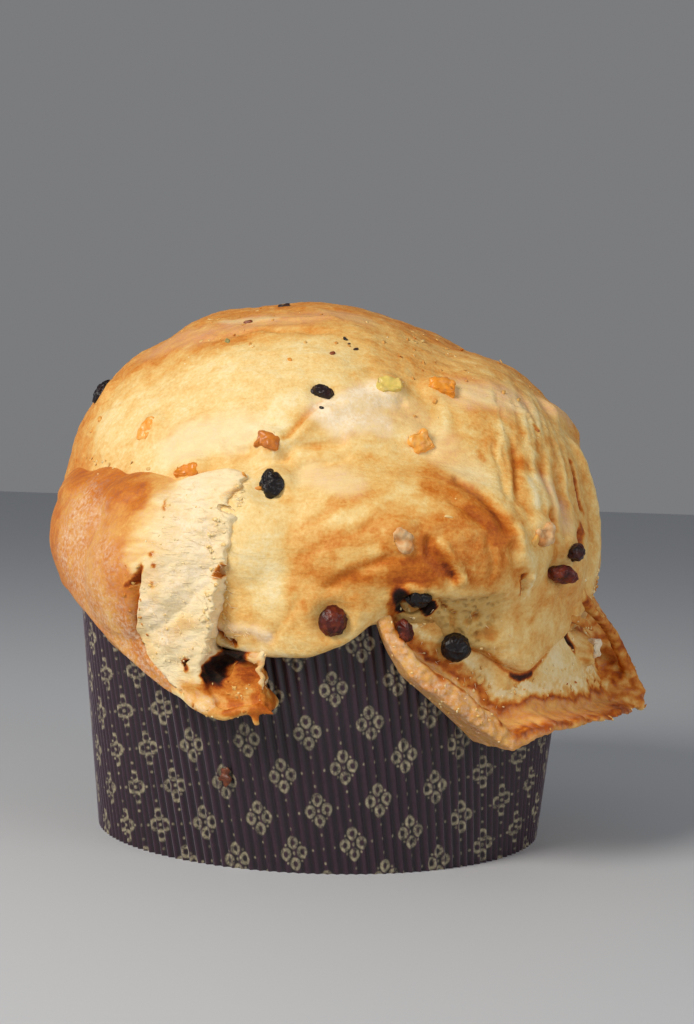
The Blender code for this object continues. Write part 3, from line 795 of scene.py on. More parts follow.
def make_left_fold():
    """Shapes the fold that slumps down the left, its torn side, the tongue over it and the ragged mouth below."""
    bm = bmesh.new()
    add_lobes(bm, FOLD_LOBES)
    add_block(bm, FOLD_HEM, FOLD_CREST, 4, 40)
    add_block(bm, TONGUE_HEM, TONGUE_CREST, 1, 40, 84)
    add_block(bm, MOUTH_HEM, MOUTH_CREST, 0, 30)
    add_runs(bm, LIP_RUNS)
    fold = object_from(bm, "left_fold")
    remesh(fold, FOLD_VOXEL, 6)
    scoop_out(fold, FOLD_SCOOPS)
    clear_of_paper(fold)
    points = get_points(fold.data)
    dirs, angle = directions(points), angle_of(points)
    torn = torn_side(points, angle, climb_of(dirs))
    lift = 1.0 * grain(points, 30, 6) + 0.5 * grain(points, 12, 7)
    lift += torn * (1.2 * grain(points * (0.8, 0.8, 1), 8, 8) + 0.5 * grain(points * (0.7, 0.7, 1), 2.4, 9))
    loose = directions(points + 0.8 * grain(points, 5, 10)[:, None])
    lift += valley(loose, FOLD_CRACK, 0.75, 4)
    lift += valley(loose, [(turn - 1.6, climb) for turn, climb in FOLD_CRACK], 1.5, -0.8)
    lift += valley(loose, ((-30, -8), (-28.6, -14), (-27, -20)), 3.0, -1.0)
    ragged = torn * smoothstep(-27, -22, angle)
    pull = ragged * (1.6 * grain(points * (0.2, 0.2, 1), 9, 12) + 1.6 * grain(points * (0.3, 0.3, 1), 2.8, 13))
    pull += ragged * 0.9 * grain(points * (0.5, 0.5, 1), 1.5, 26)
    pull += torn * np.interp(points[:, 2], *TORN_END)
    sideways = round_the_axis(points)[1]
    set_points(fold.data, keep_off_paper(move_out(points, dirs, lift) + sideways * pull[:, None]))
    skin = paint(points, 0.56, FOLD_BROWNING)
    bare = paint(points, 0.06, TORN_BROWNING_AND_SHADE)
    bare += (bare < 0.3) * (0.10 * grain(points * (0.6, 0.6, 1), 6, 31) + 0.07 * grain(points, 2.6, 32))
    mouth = (1 - smoothstep(60, 66, points[:, 2])) * (angle > -29)
    over = np.maximum(torn, np.maximum(mouth, bare > 0.4))
    keep_on(fold, "browning_and_shade", skin + (bare - skin) * over)
    floured, powder = paint(points, 0.05, FOLD_FLOUR), paint(points, 0.38, TORN_FLOUR)
    powder += 0.3 * grain(points * (0.6, 0.6, 1), 7, 33)
    keep_on(fold, "flour", floured + (powder * (bare < 0.4) - floured) * over)
    keep_on(fold, "crumb", torn * 0.12)
    keep_on(fold, "torn", torn)
    keep_on(fold, "grit", 1 - torn)
    return fold


# The tray's crust by distance in from its edge: a thick rind at its left, then a thinner brim. The rind's dark band
# at 4 to 6 mm is partly browned crust and partly painted shade in the trough inside it.
RIND_BROWNING_AND_SHADE = ((0, 3.2, 4.2, 5.6, 6.8, 9.0, 11), (0.50, 0.44, 0.80, 0.72, 0.52, 0.40, 0.10))
BRIM_BROWNING = ((0, 1.6, 2.6, 3.6, 4.6, 6.4, 8), (0.46, 0.50, 0.64, 0.84, 0.56, 0.24, 0.08))


def above_hem(points):
    """How far each point of the tray lies above its hem, negative below it."""
    return course(directions(points), hanging([(angle, height) for angle, height, _ in TRAY_HEM], 112))[0]


def brim_width(angle):
    """The brim's width against its full one: it is narrow where the tray hangs free."""
    return 1 - 0.35 * smoothstep(34, 40, angle) * (1 - smoothstep(64, 70, angle))


def dish(tray):
    """Hollows the block out behind its brim, down to near the paper."""
    points = get_points(tray.data)
    reach = reach_of(points)
    inward = np.abs(above_hem(points)) + 0.9 * grain(points, 6, 14) + 0.6 * grain(points, 2.2, 15)
    inward /= brim_width(angle_of(points))
    sunk = 10.0 * smoothstep(3.6, 5.6, inward) - 3.5 * smoothstep(8, 24, inward)
    floor = case_radius(points[:, 2]) + 2.5
    dished = np.maximum(reach - sunk, np.minimum(reach, floor))
    set_points(tray.data, points + round_the_axis(points)[0] * (dished - reach)[:, None])


def make_tray():
    """Shapes the dish of dough that hangs at the right, with its raised brim and its rolled edges."""
    bm = bmesh.new()
    add_block(bm, TRAY_HEM, TRAY_CREST, 0, 70)
    tray = object_from(bm, "tray")
    remesh(tray, TRAY_VOXEL, 5)
    dish(tray)
    bm = bmesh.new()
    bm.from_mesh(tray.data)
    add_runs(bm, TRAY_RUNS)
    bm.to_mesh(tray.data)
    bm.free()
    remesh(tray, TRAY_SKIN_VOXEL, 3)
    scoop_out(tray, TRAY_SCOOPS)
    clear_of_paper(tray)
    points = get_points(tray.data)
    dirs, angle = directions(points), angle_of(points)
    inward = np.maximum(above_hem(points), 0) + 0.9 * grain(points, 6, 14)
    inward /= brim_width(angle)
    rim = 1 - smoothstep(4.0, 8.0, inward)
    outer = smoothstep(1.5, 4.0, reach_of(points) - case_radius(points[:, 2]))
    rough = rim + 0.6 * smoothstep(56, 64, angle)
    strip = 1 - smoothstep(34, 38, angle)
    lift = outer * (0.5 * grain(points, 9, 16) + rough * (0.7 * grain(points, 4, 17) + 0.5 * grain(points, 2.0, 18)))
    lift += outer * rim * strip * 0.6 * grain(points, 2.6, 34)
    lift = settle(points, dirs, lift, TRAY_FRUIT)
    set_points(tray.data, keep_off_paper(move_out(points, dirs, lift)))
    near = inward + 1.4 * grain(points, 5.0, 19) + 0.7 * grain(points, 2.2, 20)
    # The tray's low base level is partly painted light, lifting the dish that lies in the crown's shade.
    browned = paint(points, 0.15, TRAY_BROWNING_LIGHT_AND_SHADE)
    browned += 0.4 * smoothstep(60, 70, angle) * (browned > 0.15) * (browned < 0.8) * grain(points, 2.6, 27)
    edged = strip * np.interp(near, *RIND_BROWNING_AND_SHADE) + (1 - strip) * np.interp(near, *BRIM_BROWNING)
    edged += 0.3 * grain(points, 2.0, 30) * smoothstep(3.0, 4.5, near)
    share = (near < 11) * (1 - smoothstep(76, 80, angle))
    keep_on(tray, "browning_and_shade", np.where(browned > 0.7, browned, browned * (1 - share) + edged * share))
    keep_on(tray, "flour", (0.16 + 0.2 * strip) * (1 - smoothstep(2.4, 4.0, near)))
    keep_on(tray, "crumb", smoothstep(6.0, 9.0, inward) * 0.15)
    keep_on(tray, "torn", rim * 0.2)
    keep_on(tray, "grit", rim)
    return tray


def skin_of(pieces):
    """One search tree over the outside of several pieces."""
    corners, faces = [], []
    for piece in pieces:
        first = len(corners)
        corners += [vert.co.copy() for vert in piece.data.vertices]
        faces += [[first + index for index in face.vertices] for face in piece.data.polygons]
    return BVHTree.FromPolygons(corners, faces)


def landing(skin, angle, climb):
    """Where the dough's skin lies at a place on the chart, and the way that it faces."""
    line = Vector(aim(angle, climb))
    place, normal, _, _ = skin.ray_cast(Vector(CROWN_CENTRE) * MM + line * 0.2, -line)
    return place, normal


def along_skin(skin, angle, climb, heading):
    """A place on the skin, its normal, and the way along it for a heading: 0 to the right and 90 upwards."""
    place, normal = landing(skin, angle, climb)
    step, turn = 0.6, math.radians(heading)
    beyond, _ = landing(skin, angle + step * math.cos(turn), climb + step * math.sin(turn))
    return place, normal, (beyond - place).normalized()


def added_since(bm, known):
    """The vertices that a bmesh has gained since it had this many."""
    bm.verts.ensure_lookup_table()
    return bm.verts[known:]


# Torn threads: angles, climbs, count, lengths, headings and lift from the skin.
THREAD_FIELDS = (
    ((-33, -20), (-2, 10), 90, (2.0, 4.6), (-40, 15), (0, 7)),
    ((-32, -21), (-12, -2), 70, (1.5, 4.0), (-50, 10), (0, 7)),
    ((-31, -23), (-22, -12), 50, (1.2, 3.2), (-80, 0), (0, 8)),
    ((-22.5, -18.5), (-21, 6), 120, (1.0, 3.4), (-60, 30), (6, 40)),
    ((-20, -17), (6, 11), 24, (1.0, 2.6), (-40, 30), (5, 30)),
    ((-22, -14), (-19, -16.4), 30, (1.0, 2.8), (-60, 40), (5, 40)),
    ((9, 38), (-33, -12), 60, (0.8, 2.2), (-180, 180), (5, 30)),
)


def make_threads(skin):
    """Draws out the torn crumb's threads, each a fine tapered spike that lies close along the dough."""
    draw = random.Random(11)
    bm = bmesh.new()
    for angles, climbs, count, lengths, headings, lifts in THREAD_FIELDS:
        for _ in range(count):
            place, normal, way = along_skin(skin, draw.uniform(*angles), draw.uniform(*climbs), draw.uniform(*headings))
            length = draw.uniform(*lengths) * MM
            way = (way + normal * math.tan(math.radians(draw.uniform(*lifts)))).normalized()
            thick = draw.uniform(0.07, 0.16) * MM
            turn = way.to_track_quat("Z", "Y").to_matrix().to_4x4()
            bmesh.ops.create_cone(
                bm, cap_ends=True, segments=5, radius1=thick, radius2=thick * 0.25, depth=length,
                matrix=Matrix.Translation(place + way * (length * 0.42)) @ turn,
            )
    threads = object_from(bm, "torn_threads")
    keep_on(threads, "browning_and_shade", np.full(len(threads.data.vertices), 0.04))
    keep_on(threads, "flour", np.full(len(threads.data.vertices), 0.5))
    return threads


# Ragged flakes of skin: angles, climbs, count, sizes, headings, lift and how brown they are.
FLAKE_FIELDS = (
    ((-22.4, -19.4), (-20, 5), 46, (1.0, 2.6), (-70, 40), (4, 35), (0.0, 0.25)),
    ((-19, -17), (5, 11), 8, (1.0, 2.2), (-40, 40), (4, 30), (0.0, 0.2)),
    ((-36, -33), (-20, -5), 14, (0.8, 1.8), (-180, 180), (4, 25), (0.3, 0.6)),
    ((-24, -10), (-30, -24), 14, (0.8, 1.8), (-180, 180), (4, 25), (0.3, 0.7)),
    ((10, 36), (-32, -24), 24, (0.8, 1.8), (-180, 180), (4, 30), (0.2, 0.5)),
    ((40, 80), (-31, -26), 28, (0.8, 2.2), (-180, 180), (4, 30), (0.3, 0.6)),
    ((66, 82), (-26, -8), 26, (0.8, 2.4), (-180, 180), (4, 30), (0.3, 0.6)),
    ((-76, -44), (12.6, 14.4), 12, (0.8, 2.2), (-30, 90), (4, 35), (0.0, 0.3)),
    ((-80, 60), (48, 70), 40, (0.8, 2.0), (-180, 180), (2, 25), (0.1, 0.5)),
    ((20, 84), (30, 62), 26, (1.0, 2.4), (-180, 180), (8, 35), (0.25, 0.55)),
)


def make_flakes(skin):
    """Lays ragged plates of dry skin along the torn edges."""
    draw = random.Random(12)
    bm = bmesh.new()
    shade = bm.verts.layers.float.new("browning_and_shade")
    for angles, climbs, count, sizes, headings, lifts, browns in FLAKE_FIELDS:
        for _ in range(count):
            place, normal, way = along_skin(skin, draw.uniform(*angles), draw.uniform(*climbs), draw.uniform(*headings))
            tilt = math.tan(math.radians(draw.uniform(*lifts)))
            brown = draw.uniform(*browns)
            size = draw.uniform(*sizes) * MM
            side = normal.cross(way).normalized()
            front = (way + normal * tilt).normalized()
            up = front.cross(side)
            known = len(bm.verts)
            verts = bmesh.ops.create_circle(bm, cap_ends=True, segments=9, radius=size / 2)["verts"]
            for vert in verts:
                vert.co *= draw.uniform(0.55, 1.3)
                vert.co.y *= 0.6
            face = verts[0].link_faces[0]
            bmesh.ops.solidify(bm, geom=[face], thickness=0.25 * MM)
            turn = Matrix((front, side, up)).transposed().to_4x4()
            move = Matrix.Translation(place + front * size * 0.3 + normal * 0.1 * MM) @ turn
            for vert in added_since(bm, known):
                vert.co = move @ vert.co
                vert[shade] = brown
    return object_from(bm, "skin_flakes")


# Loose crumbs: angles, climbs, count and sizes.
CRUMB_FIELDS = (
    ((-33, -21), (-22, 8), 40, (0.4, 1.0)), ((-22, -10), (-29, -25), 12, (0.4, 1.0)),
    ((10, 36), (-32, -12), 46, (0.4, 1.3)), ((38, 80), (-31, -20), 60, (0.4, 1.3)),
    ((60, 82), (-20, -6), 30, (0.5, 1.6)), ((-60, 60), (0, 50), 34, (0.3, 0.7)),
)


def make_crumbs(skin):
    """Scatters small lumps of crumb, half sunk where they stick."""
    draw = random.Random(13)
    bm = bmesh.new()
    shade = bm.verts.layers.float.new("browning_and_shade")
    for angles, climbs, count, sizes in CRUMB_FIELDS:
        for _ in range(count):
            place, _ = landing(skin, draw.uniform(*angles), draw.uniform(*climbs))
            brown = draw.uniform(0.0, 0.25)
            known = len(bm.verts)
            size = Matrix.Diagonal([draw.uniform(*sizes) / 2 * MM for _ in range(3)] + [1])
            bmesh.ops.create_icosphere(bm, subdivisions=2, radius=1, matrix=Matrix.Translation(place) @ size)
            for vert in added_since(bm, known):
                vert.co = place + (vert.co - place) * draw.uniform(0.75, 1.2)
                vert[shade] = brown
    return object_from(bm, "loose_crumbs")


# Small bits of fruit and zest: angle, climb, length, width and tint, from black over red, orange and gold to olive.
FRUIT_BITS = (
    (4, 55, 3.0, 1.5, 0.0), (8, 51, 2.2, 1.1, 0.05), (5.4, 53, 1.2, 0.9, 0.1), (-1, 48, 3.0, 1.6, 0.28),
    (-15, 45, 2.6, 1.3, 0.55), (-43, 50, 3.8, 1.8, 0.95), (-47, 60, 4.0, 2.2, 0.25), (-50, 73, 5.0, 2.6, 0.05),
    (-70, 23, 3.0, 2.0, 0.55), (-72, 20, 2.0, 1.4, 0.6), (21.6, 5.2, 3.4, 1.2, 0.75), (34, -26, 3.6, 2.6, 0.72),
    (74, -21.5, 4.6, 3.4, 0.98), (54.4, 23.8, 2.0, 1.2, 0.4), (40, 1, 5.4, 3.0, 0.62), (-31, -8.2, 1.4, 1.0, 0.7),
    (-3, 30.4, 2.2, 1.4, 0.0), (70, -24.4, 2.6, 2.0, 0.75), (73, -25.2, 2.2, 1.7, 0.78), (-18, 12.5, 3.0, 1.8, 0.55),
    (-15, 10, 3.2, 1.4, 0.5),
)

# A brown scrap stuck to the front of the paper: its angle, its height and its half sizes.
STUCK_SCRAP = (-21.7, 32.5, (2.0, 0.9, 3.0))


def add_scrap(bm, shade, place, turn, half_sizes, fineness, lumps, tint):
    """Adds one lumpy scrap with its tint; its lumps are how strong, how wide and which seed."""
    known = len(bm.verts)
    size = Matrix.Diagonal((*(half * MM for half in half_sizes), 1))
    bmesh.ops.create_icosphere(bm, subdivisions=fineness, radius=1, matrix=Matrix.Translation(place) @ turn @ size)
    fresh = added_since(bm, known)
    strength, width, seed = lumps
    swell = 1 + strength * grain(np.array([vert.co for vert in fresh]) / MM, width, seed)
    for vert, share in zip(fresh, swell):
        vert.co = place + (vert.co - place) * share
        vert[shade] = tint


def make_fruit_bits(skin):
    """Presses small chopped bits of fruit and zest into the crust, and sticks one scrap to the paper."""
    draw = random.Random(14)
    bm = bmesh.new()
    shade = bm.verts.layers.float.new("tint")
    for angle, climb, length, width, tint in FRUIT_BITS:
        place, normal, way = along_skin(skin, angle, climb, draw.uniform(-60, 60))
        turn = Matrix((way, normal.cross(way).normalized(), normal)).transposed().to_4x4()
        add_scrap(bm, shade, place, turn, (length / 2, width / 2, width / 2.6), 3, (0.5, 1.4, 40), tint)
    angle, height, half_sizes = STUCK_SCRAP
    turn, reach = math.radians(angle), case_radius(height) + 0.4
    place = Vector((math.sin(turn) * reach, -math.cos(turn) * reach, height)) * MM
    add_scrap(bm, shade, place, Matrix.Rotation(turn, 4, "Z"), half_sizes, 4, (0.7, 1.6, 41), 0.22)
    return object_from(bm, "fruit_bits")


def fill(tree, made, inputs):
    """Links or fills a node's inputs."""
    for key, value in inputs.items():
        if isinstance(value, bpy.types.NodeSocket):
            tree.links.new(value, made.inputs[key])
        else:
            made.inputs[key].default_value = value


def node(tree, kind, inputs=None, output=0, stops=(), **settings):
    """Adds a node with its settings, its inputs and a ramp's stops (place, hex colour), and hands back an output."""
    made = tree.nodes.new("ShaderNode" + kind)
    for name, value in settings.items():
        setattr(made, name, value)
    fill(tree, made, inputs or {})
    if stops:
        made.color_ramp.elements.remove(made.color_ramp.elements[-1])
    for index, (place, colour) in enumerate(stops):
        element = made.color_ramp.elements.new(place) if index else made.color_ramp.elements[0]
        element.position = place
        element.color = linear(colour)
    return made.outputs[output]


def new_material(name):
    """A new material, its node tree and its surface shader."""
    made = bpy.data.materials.new(name)
    made.use_nodes = True
    return made, made.node_tree, made.node_tree.nodes["Principled BSDF"]


def baked_dough():
    """Enriched dough, baked: a thin silky skin that browns in mottled streaks, dusted with flour, over open crumb that
    tears in fine threads. Its hollows, holes and slits are painted near black as shade."""
    made, tree, shader = new_material("baked_dough")
    place = node(tree, "TexCoord", output="Object")
    browning_and_shade, flour, crumb, torn, grit = (
        node(tree, "Attribute", output="Fac", attribute_name=name)
        for name in ("browning_and_shade", "flour", "crumb", "torn", "grit")
    )

    # The skin stretches up and to the right as the crown spills over; torn crumb pulls out in level threads.
    drawn = node(tree, "Mapping", {"Vector": place, "Rotation": (0, math.radians(38), 0), "Scale": (0.22, 1, 1)})
    pulled = node(tree, "Mapping", {"Vector": place, "Rotation": (0, math.radians(-12), 0), "Scale": (0.34, 0.34, 1)})

    # Each noise: where, the size of its lumps, its detail, its roughness and its warp.
    streaks, mottle, speck, threads, fine, wrinkle = (
        node(tree, "TexNoise", {
            "Vector": where, "Scale": 1000 / size, "Detail": detail, "Roughness": rough, "Distortion": warp,
        })
        for where, size, detail, rough, warp in (
            (drawn, 5.0, 5, 0.6, 0.6), (place, 7.0, 5, 0.66, 0.5), (place, 1.3, 3, 0.62, 0.0),
            (pulled, 1.5, 4, 0.62, 0.8), (place, 0.9, 4, 0.6, 0.0), (drawn, 3.2, 4, 0.6, 0.0),
        )
    )

    # How brown the skin is, from 0 to 1.5: the painted browning with each noise swinging about it. Levels of 1.2 and
    # above are painted shade: the ramp's two last stops, near black, darken hollows, holes and slits.
    level = browning_and_shade
    half_torn = node(tree, "Math", {0: torn, 1: 0.5}, operation="MULTIPLY")
    for cloud, amount in ((streaks, 0.36), (mottle, 0.50), (speck, 0.36), (threads, half_torn)):
        swing = node(tree, "Math", {0: cloud, 1: 0.5}, operation="SUBTRACT")
        level = node(tree, "Math", {0: swing, 1: amount, 2: level}, operation="MULTIPLY_ADD")
    crust = node(tree, "ValToRGB", {0: node(tree, "Math", {0: level, 1: 1.5}, operation="DIVIDE")}, stops=(
        (0.0, "#F8E5B4"), (0.107, "#F2D390"), (0.213, "#E9BA6C"), (0.32, "#DC9745"), (0.413, "#CB7420"),
        (0.533, "#AA510F"), (0.667, "#742F07"), (0.82, "#35140A"), (0.96, "#0E0604"),
    ))

    # Open crumb is a duller tan, except where its level is high, on scorched crust and in painted shade. Inside its
    # pores it is painted darker, as shade.
    dark = node(tree, "Math", {0: level, 1: 0.75}, operation="GREATER_THAN")
    light = node(tree, "Math", {0: dark, 1: -0.55, 2: 0.55}, operation="MULTIPLY_ADD")
    share = node(tree, "Math", {0: crumb, 1: light}, operation="MULTIPLY")
    pale = node(tree, "MixRGB", {0: share, 1: crust, 2: linear("#BD9650")})
    bubbles = node(tree, "TexVoronoi", {"Vector": place, "Scale": 1000 / 2.4}, "Distance", feature="SMOOTH_F1")
    pores = node(tree, "MapRange", {"Value": bubbles, "From Min": 0.12, "From Max": 0.42, "To Min": 1.0, "To Max": 0.0})
    pitted = node(tree, "Math", {0: pores, 1: crumb}, operation="MULTIPLY")
    pits_shade = node(tree, "Math", {0: pitted, 1: 0.45}, operation="MULTIPLY")
    shaded = node(tree, "MixRGB", {0: pits_shade, 1: pale, 2: linear("#A8834A")})

    # Flour lies as a film, or in grains where the crust is gritty: each a share of speck, one of mottle, and a base.
    dust = []
    for fine_share, broad_share, base in ((2.4, 2.4, -1.5), (4.6, 1.8, -2.75)):
        patches = node(tree, "Math", {0: mottle, 1: broad_share, 2: base}, operation="MULTIPLY_ADD")
        dust.append(node(tree, "Math", {0: speck, 1: fine_share, 2: patches}, operation="MULTIPLY_ADD"))
    powder = node(tree, "Mix", {0: grit, 2: dust[0], 3: dust[1]})
    some = node(tree, "Math", {0: 0.0, 1: powder}, operation="MAXIMUM")
    dusty = node(tree, "Math", {0: flour, 1: some}, operation="MULTIPLY", use_clamp=True)
    floured = node(tree, "MixRGB", {0: dusty, 1: shaded, 2: linear("#FAE7C6")})

    # The skin has a soft gloss; torn and open crumb is matt.
    swing = node(tree, "Math", {0: mottle, 1: 0.5}, operation="SUBTRACT")
    gloss = node(tree, "Math", {0: swing, 1: 0.3, 2: 0.52}, operation="MULTIPLY_ADD")
    opened = node(tree, "Math", {0: torn, 1: crumb}, operation="MAXIMUM")
    rough = node(tree, "Math", {0: opened, 1: 0.25, 2: gloss}, operation="MULTIPLY_ADD")
    ridges = node(tree, "Math", {0: threads, 1: torn}, operation="MULTIPLY")
    relief = node(tree, "Math", {0: wrinkle, 1: 0.8}, operation="MULTIPLY")
    for height, amount in ((fine, 0.35), (ridges, 0.8), (pitted, -1.1)):
        relief = node(tree, "Math", {0: height, 1: amount, 2: relief}, operation="MULTIPLY_ADD")
    bump = node(tree, "Bump", {"Height": relief, "Distance": 0.0011, "Strength": 0.6})
    fill(tree, shader, {"Base Color": floured, "Roughness": rough, "Normal": bump, "Specular IOR Level": 0.24})
    return made


def rosettes(tree, column):
    """The print's ink, from 0 to 1: staggered rosettes, each of four ring petals, with dots in its middle and round
    it."""
    across = node(tree, "SeparateXYZ", {0: node(tree, "UVMap", uv_map="paper")})
    up = across.node.outputs[1]
    x = node(tree, "Math", {0: across, 1: column}, operation="DIVIDE")
    y = node(tree, "Math", {0: up, 1: PRINT_ROW}, operation="DIVIDE")
    rising, falling = (
        node(tree, "Math", {0: node(tree, "Math", {0: x, 1: y}, operation=operation)}, operation="ROUND")
        for operation in ("ADD", "SUBTRACT")
    )

    # How far across and how far up the nearest rosette's middle is, sorted, which repeats each mark all round it.
    apart = []
    for along, cell, operation in ((x, column, "ADD"), (y, PRINT_ROW, "SUBTRACT")):
        doubled = node(tree, "Math", {0: rising, 1: falling}, operation=operation)
        middle = node(tree, "Math", {0: doubled, 1: 0.5}, operation="MULTIPLY")
        cells = node(tree, "Math", {0: along, 1: middle}, operation="SUBTRACT")
        length = node(tree, "Math", {0: cells, 1: cell}, operation="MULTIPLY")
        apart.append(node(tree, "Math", {0: length}, operation="ABSOLUTE"))
    far, near = (
        node(tree, "Math", {0: apart[0], 1: apart[1]}, operation=operation) for operation in ("MAXIMUM", "MINIMUM")
    )

    # Each mark: its place from the rosette's middle, its radius, and half its line's width if it is a ring.
    ink = 0.0
    for middle, radius, line in (
        ((3.8, 0.0), 1.7, 0.62), ((0.0, 0.0), 0.6, None), ((3.2, 3.2), 0.4, None), ((8.6, 0.0), 0.45, None),
        ((column / 2, 0.0), 0.3, None),
    ):
        squares = []
        for length, place in zip((far, near), middle):
            off = node(tree, "Math", {0: length, 1: place}, operation="SUBTRACT")
            squares.append(node(tree, "Math", {0: off, 1: off}, operation="MULTIPLY"))
        total = node(tree, "Math", {0: squares[0], 1: squares[1]}, operation="ADD")
        gap = node(tree, "Math", {0: total}, operation="SQRT")
        if line:
            gap = node(tree, "Math", {0: gap, 1: radius}, operation="SUBTRACT")
            gap = node(tree, "Math", {0: gap}, operation="ABSOLUTE")
        edge = line or radius
        mark = node(tree, "MapRange", {
            "Value": gap, "From Min": edge - 0.3, "From Max": edge + 0.3, "To Min": 1.0, "To Max": 0.0,
        })
        ink = node(tree, "Math", {0: ink, 1: mark}, operation="MAXIMUM")
    return ink


def petal_paper(column):
    """Greaseproof baking paper, printed in dark plum with cream rosettes, with a faint waxy sheen. Its plum is painted
    lighter on the pleats' crests and darker in their valleys: painted highlight and shade.
    """
    made, tree, shader = new_material("printed_baking_paper")
    place = node(tree, "TexCoord", output="Object")

    # The print is worn in patches of 1.6 mm, and the fibres lie 0.7 mm apart, as fine as shows.
    worn = node(tree, "TexNoise", {"Vector": place, "Scale": 620.0, "Detail": 4.0, "Roughness": 0.65})
    kept = node(tree, "Math", {0: worn, 1: 3.2, 2: -1.0}, operation="MULTIPLY_ADD", use_clamp=True)
    ink = node(tree, "Math", {0: rosettes(tree, column), 1: kept}, operation="MULTIPLY")
    # Painted highlight and shade: the plum runs from near black in the valleys to a lighter plum on the crests, in
    # patches.
    crest = node(tree, "Attribute", output="Fac", attribute_name="crest")
    crest_highlight = node(tree, "Math", {0: crest, 1: worn}, operation="MULTIPLY")
    plum = node(tree, "MixRGB", {0: crest_highlight, 1: linear("#160D16"), 2: linear("#472438")})
    printed = node(tree, "MixRGB", {0: ink, 1: plum, 2: linear("#A39A7E")})
    fibres = node(tree, "TexNoise", {"Vector": place, "Scale": 1500.0, "Detail": 3.0})
    bump = node(tree, "Bump", {"Height": fibres, "Distance": 0.0002, "Strength": 0.4})
    fill(tree, shader, {
        "Base Color": printed, "Roughness": 0.42, "Normal": bump, "Sheen Weight": 1.0, "Sheen Roughness": 0.35,
        "Sheen Tint": linear("#DAD6E4"),
    })
    return made


def flute_shape():
    """One flute's outline as (share of its pitch, depth)."""
    shares = [index / FLUTE_POINTS for index in range(FLUTE_POINTS + 1)]
    return [(share, FLUTE_DEPTH * (0.5 - 0.5 * math.cos(2 * math.pi * share)) ** 0.8) for share in shares]


def in_order(verts):
    """A ring's vertices in order round the axis."""
    return sorted(verts, key=lambda vert: math.atan2(vert.co.x, -vert.co.y) % (2 * math.pi))


def make_case_wall():
    """Spins a ring of points up the paper's flare, every ring pleated. The print is mapped on the unfolded paper, and
    the width of its cell there comes back too."""
    outline = flute_shape()
    middle = case_radius(CASE_HEIGHT / 2)
    pitch = 2 * math.pi * middle / FLUTES
    lengths = [0.0]
    for (s0, d0), (s1, d1) in zip(outline, outline[1:]):
        lengths.append(lengths[-1] + math.hypot((s1 - s0) * pitch, d1 - d0))
    count = FLUTES * FLUTE_POINTS
    bm = bmesh.new()
    uv = bm.loops.layers.uv.new("paper")
    crest = bm.verts.layers.float.new("crest")
    bmesh.ops.create_circle(bm, segments=count, radius=1)
    edges = bm.edges[:]
    rings = [in_order(bm.verts)]
    for _ in range(WALL_LEVELS + 1):
        made = bmesh.ops.extrude_edge_only(bm, edges=edges)["geom"]
        edges = [part for part in made if isinstance(part, bmesh.types.BMEdge)]
        rings.append(in_order([part for part in made if isinstance(part, bmesh.types.BMVert)]))
    place_of = {}
    for number, ring in enumerate(rings):
        inner = number == len(rings) - 1
        height = CASE_HEIGHT * min(number, WALL_LEVELS) / WALL_LEVELS
        for index, vert in enumerate(ring):
            depth = outline[index % FLUTE_POINTS][1]
            turn = 2 * math.pi * index / count - math.pi - height * math.tan(FLUTE_LEAN) / middle
            reach = case_radius(height) - depth - (PAPER if inner else 0)
            vert.co = Vector((math.sin(turn) * reach, -math.cos(turn) * reach, height)) * MM
            vert[crest] = 1 - depth / FLUTE_DEPTH
            place_of[vert] = (index, height)
    for face in bm.faces:
        indices = [place_of[loop.vert][0] for loop in face.loops]
        wraps = max(indices) - min(indices) > count / 2
        for loop in face.loops:
            index, height = place_of[loop.vert]
            index += count if wraps and index < count / 2 else 0
            flute, part = divmod(index, FLUTE_POINTS)
            along = flute * lengths[-1] + lengths[part]
            folded = index / count * 2 * math.pi * middle
            loop[uv].uv = (along, height / math.cos(FLUTE_LEAN) - folded * math.sin(FLUTE_LEAN))
    return object_from(bm, "case_paper_wall"), PRINT_PITCH * lengths[-1] / pitch


def make_case_base():
    """Lays the disc of paper under the bread, inside the flutes' feet."""
    bm = bmesh.new()
    reach = CASE_FOOT - FLUTE_DEPTH - 1
    level = Matrix.Translation((0, 0, BASE_PAPER * MM))
    bmesh.ops.create_circle(bm, cap_ends=True, segments=96, radius=reach * MM, matrix=level)
    bmesh.ops.inset_region(bm, faces=bm.faces, thickness=BASE_HEM * MM)
    bmesh.ops.solidify(bm, geom=bm.faces[:], thickness=BASE_PAPER * MM)
    return object_from(bm, "case_paper_base")


def bounding_axes(name):
    """A CAD solid's centre, its own three directions and its half size along each."""
    points = get_points(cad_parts[name].data)
    low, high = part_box(name)
    centre = np.array((low + high) / 2) / MM
    points += centre - (points.max(axis=0) + points.min(axis=0)) / 2
    axes = np.linalg.eigh(np.cov((points - centre).T))[1].T
    spans = (points - centre) @ axes.T
    return centre, axes, (spans.max(axis=0) - spans.min(axis=0)) / 2


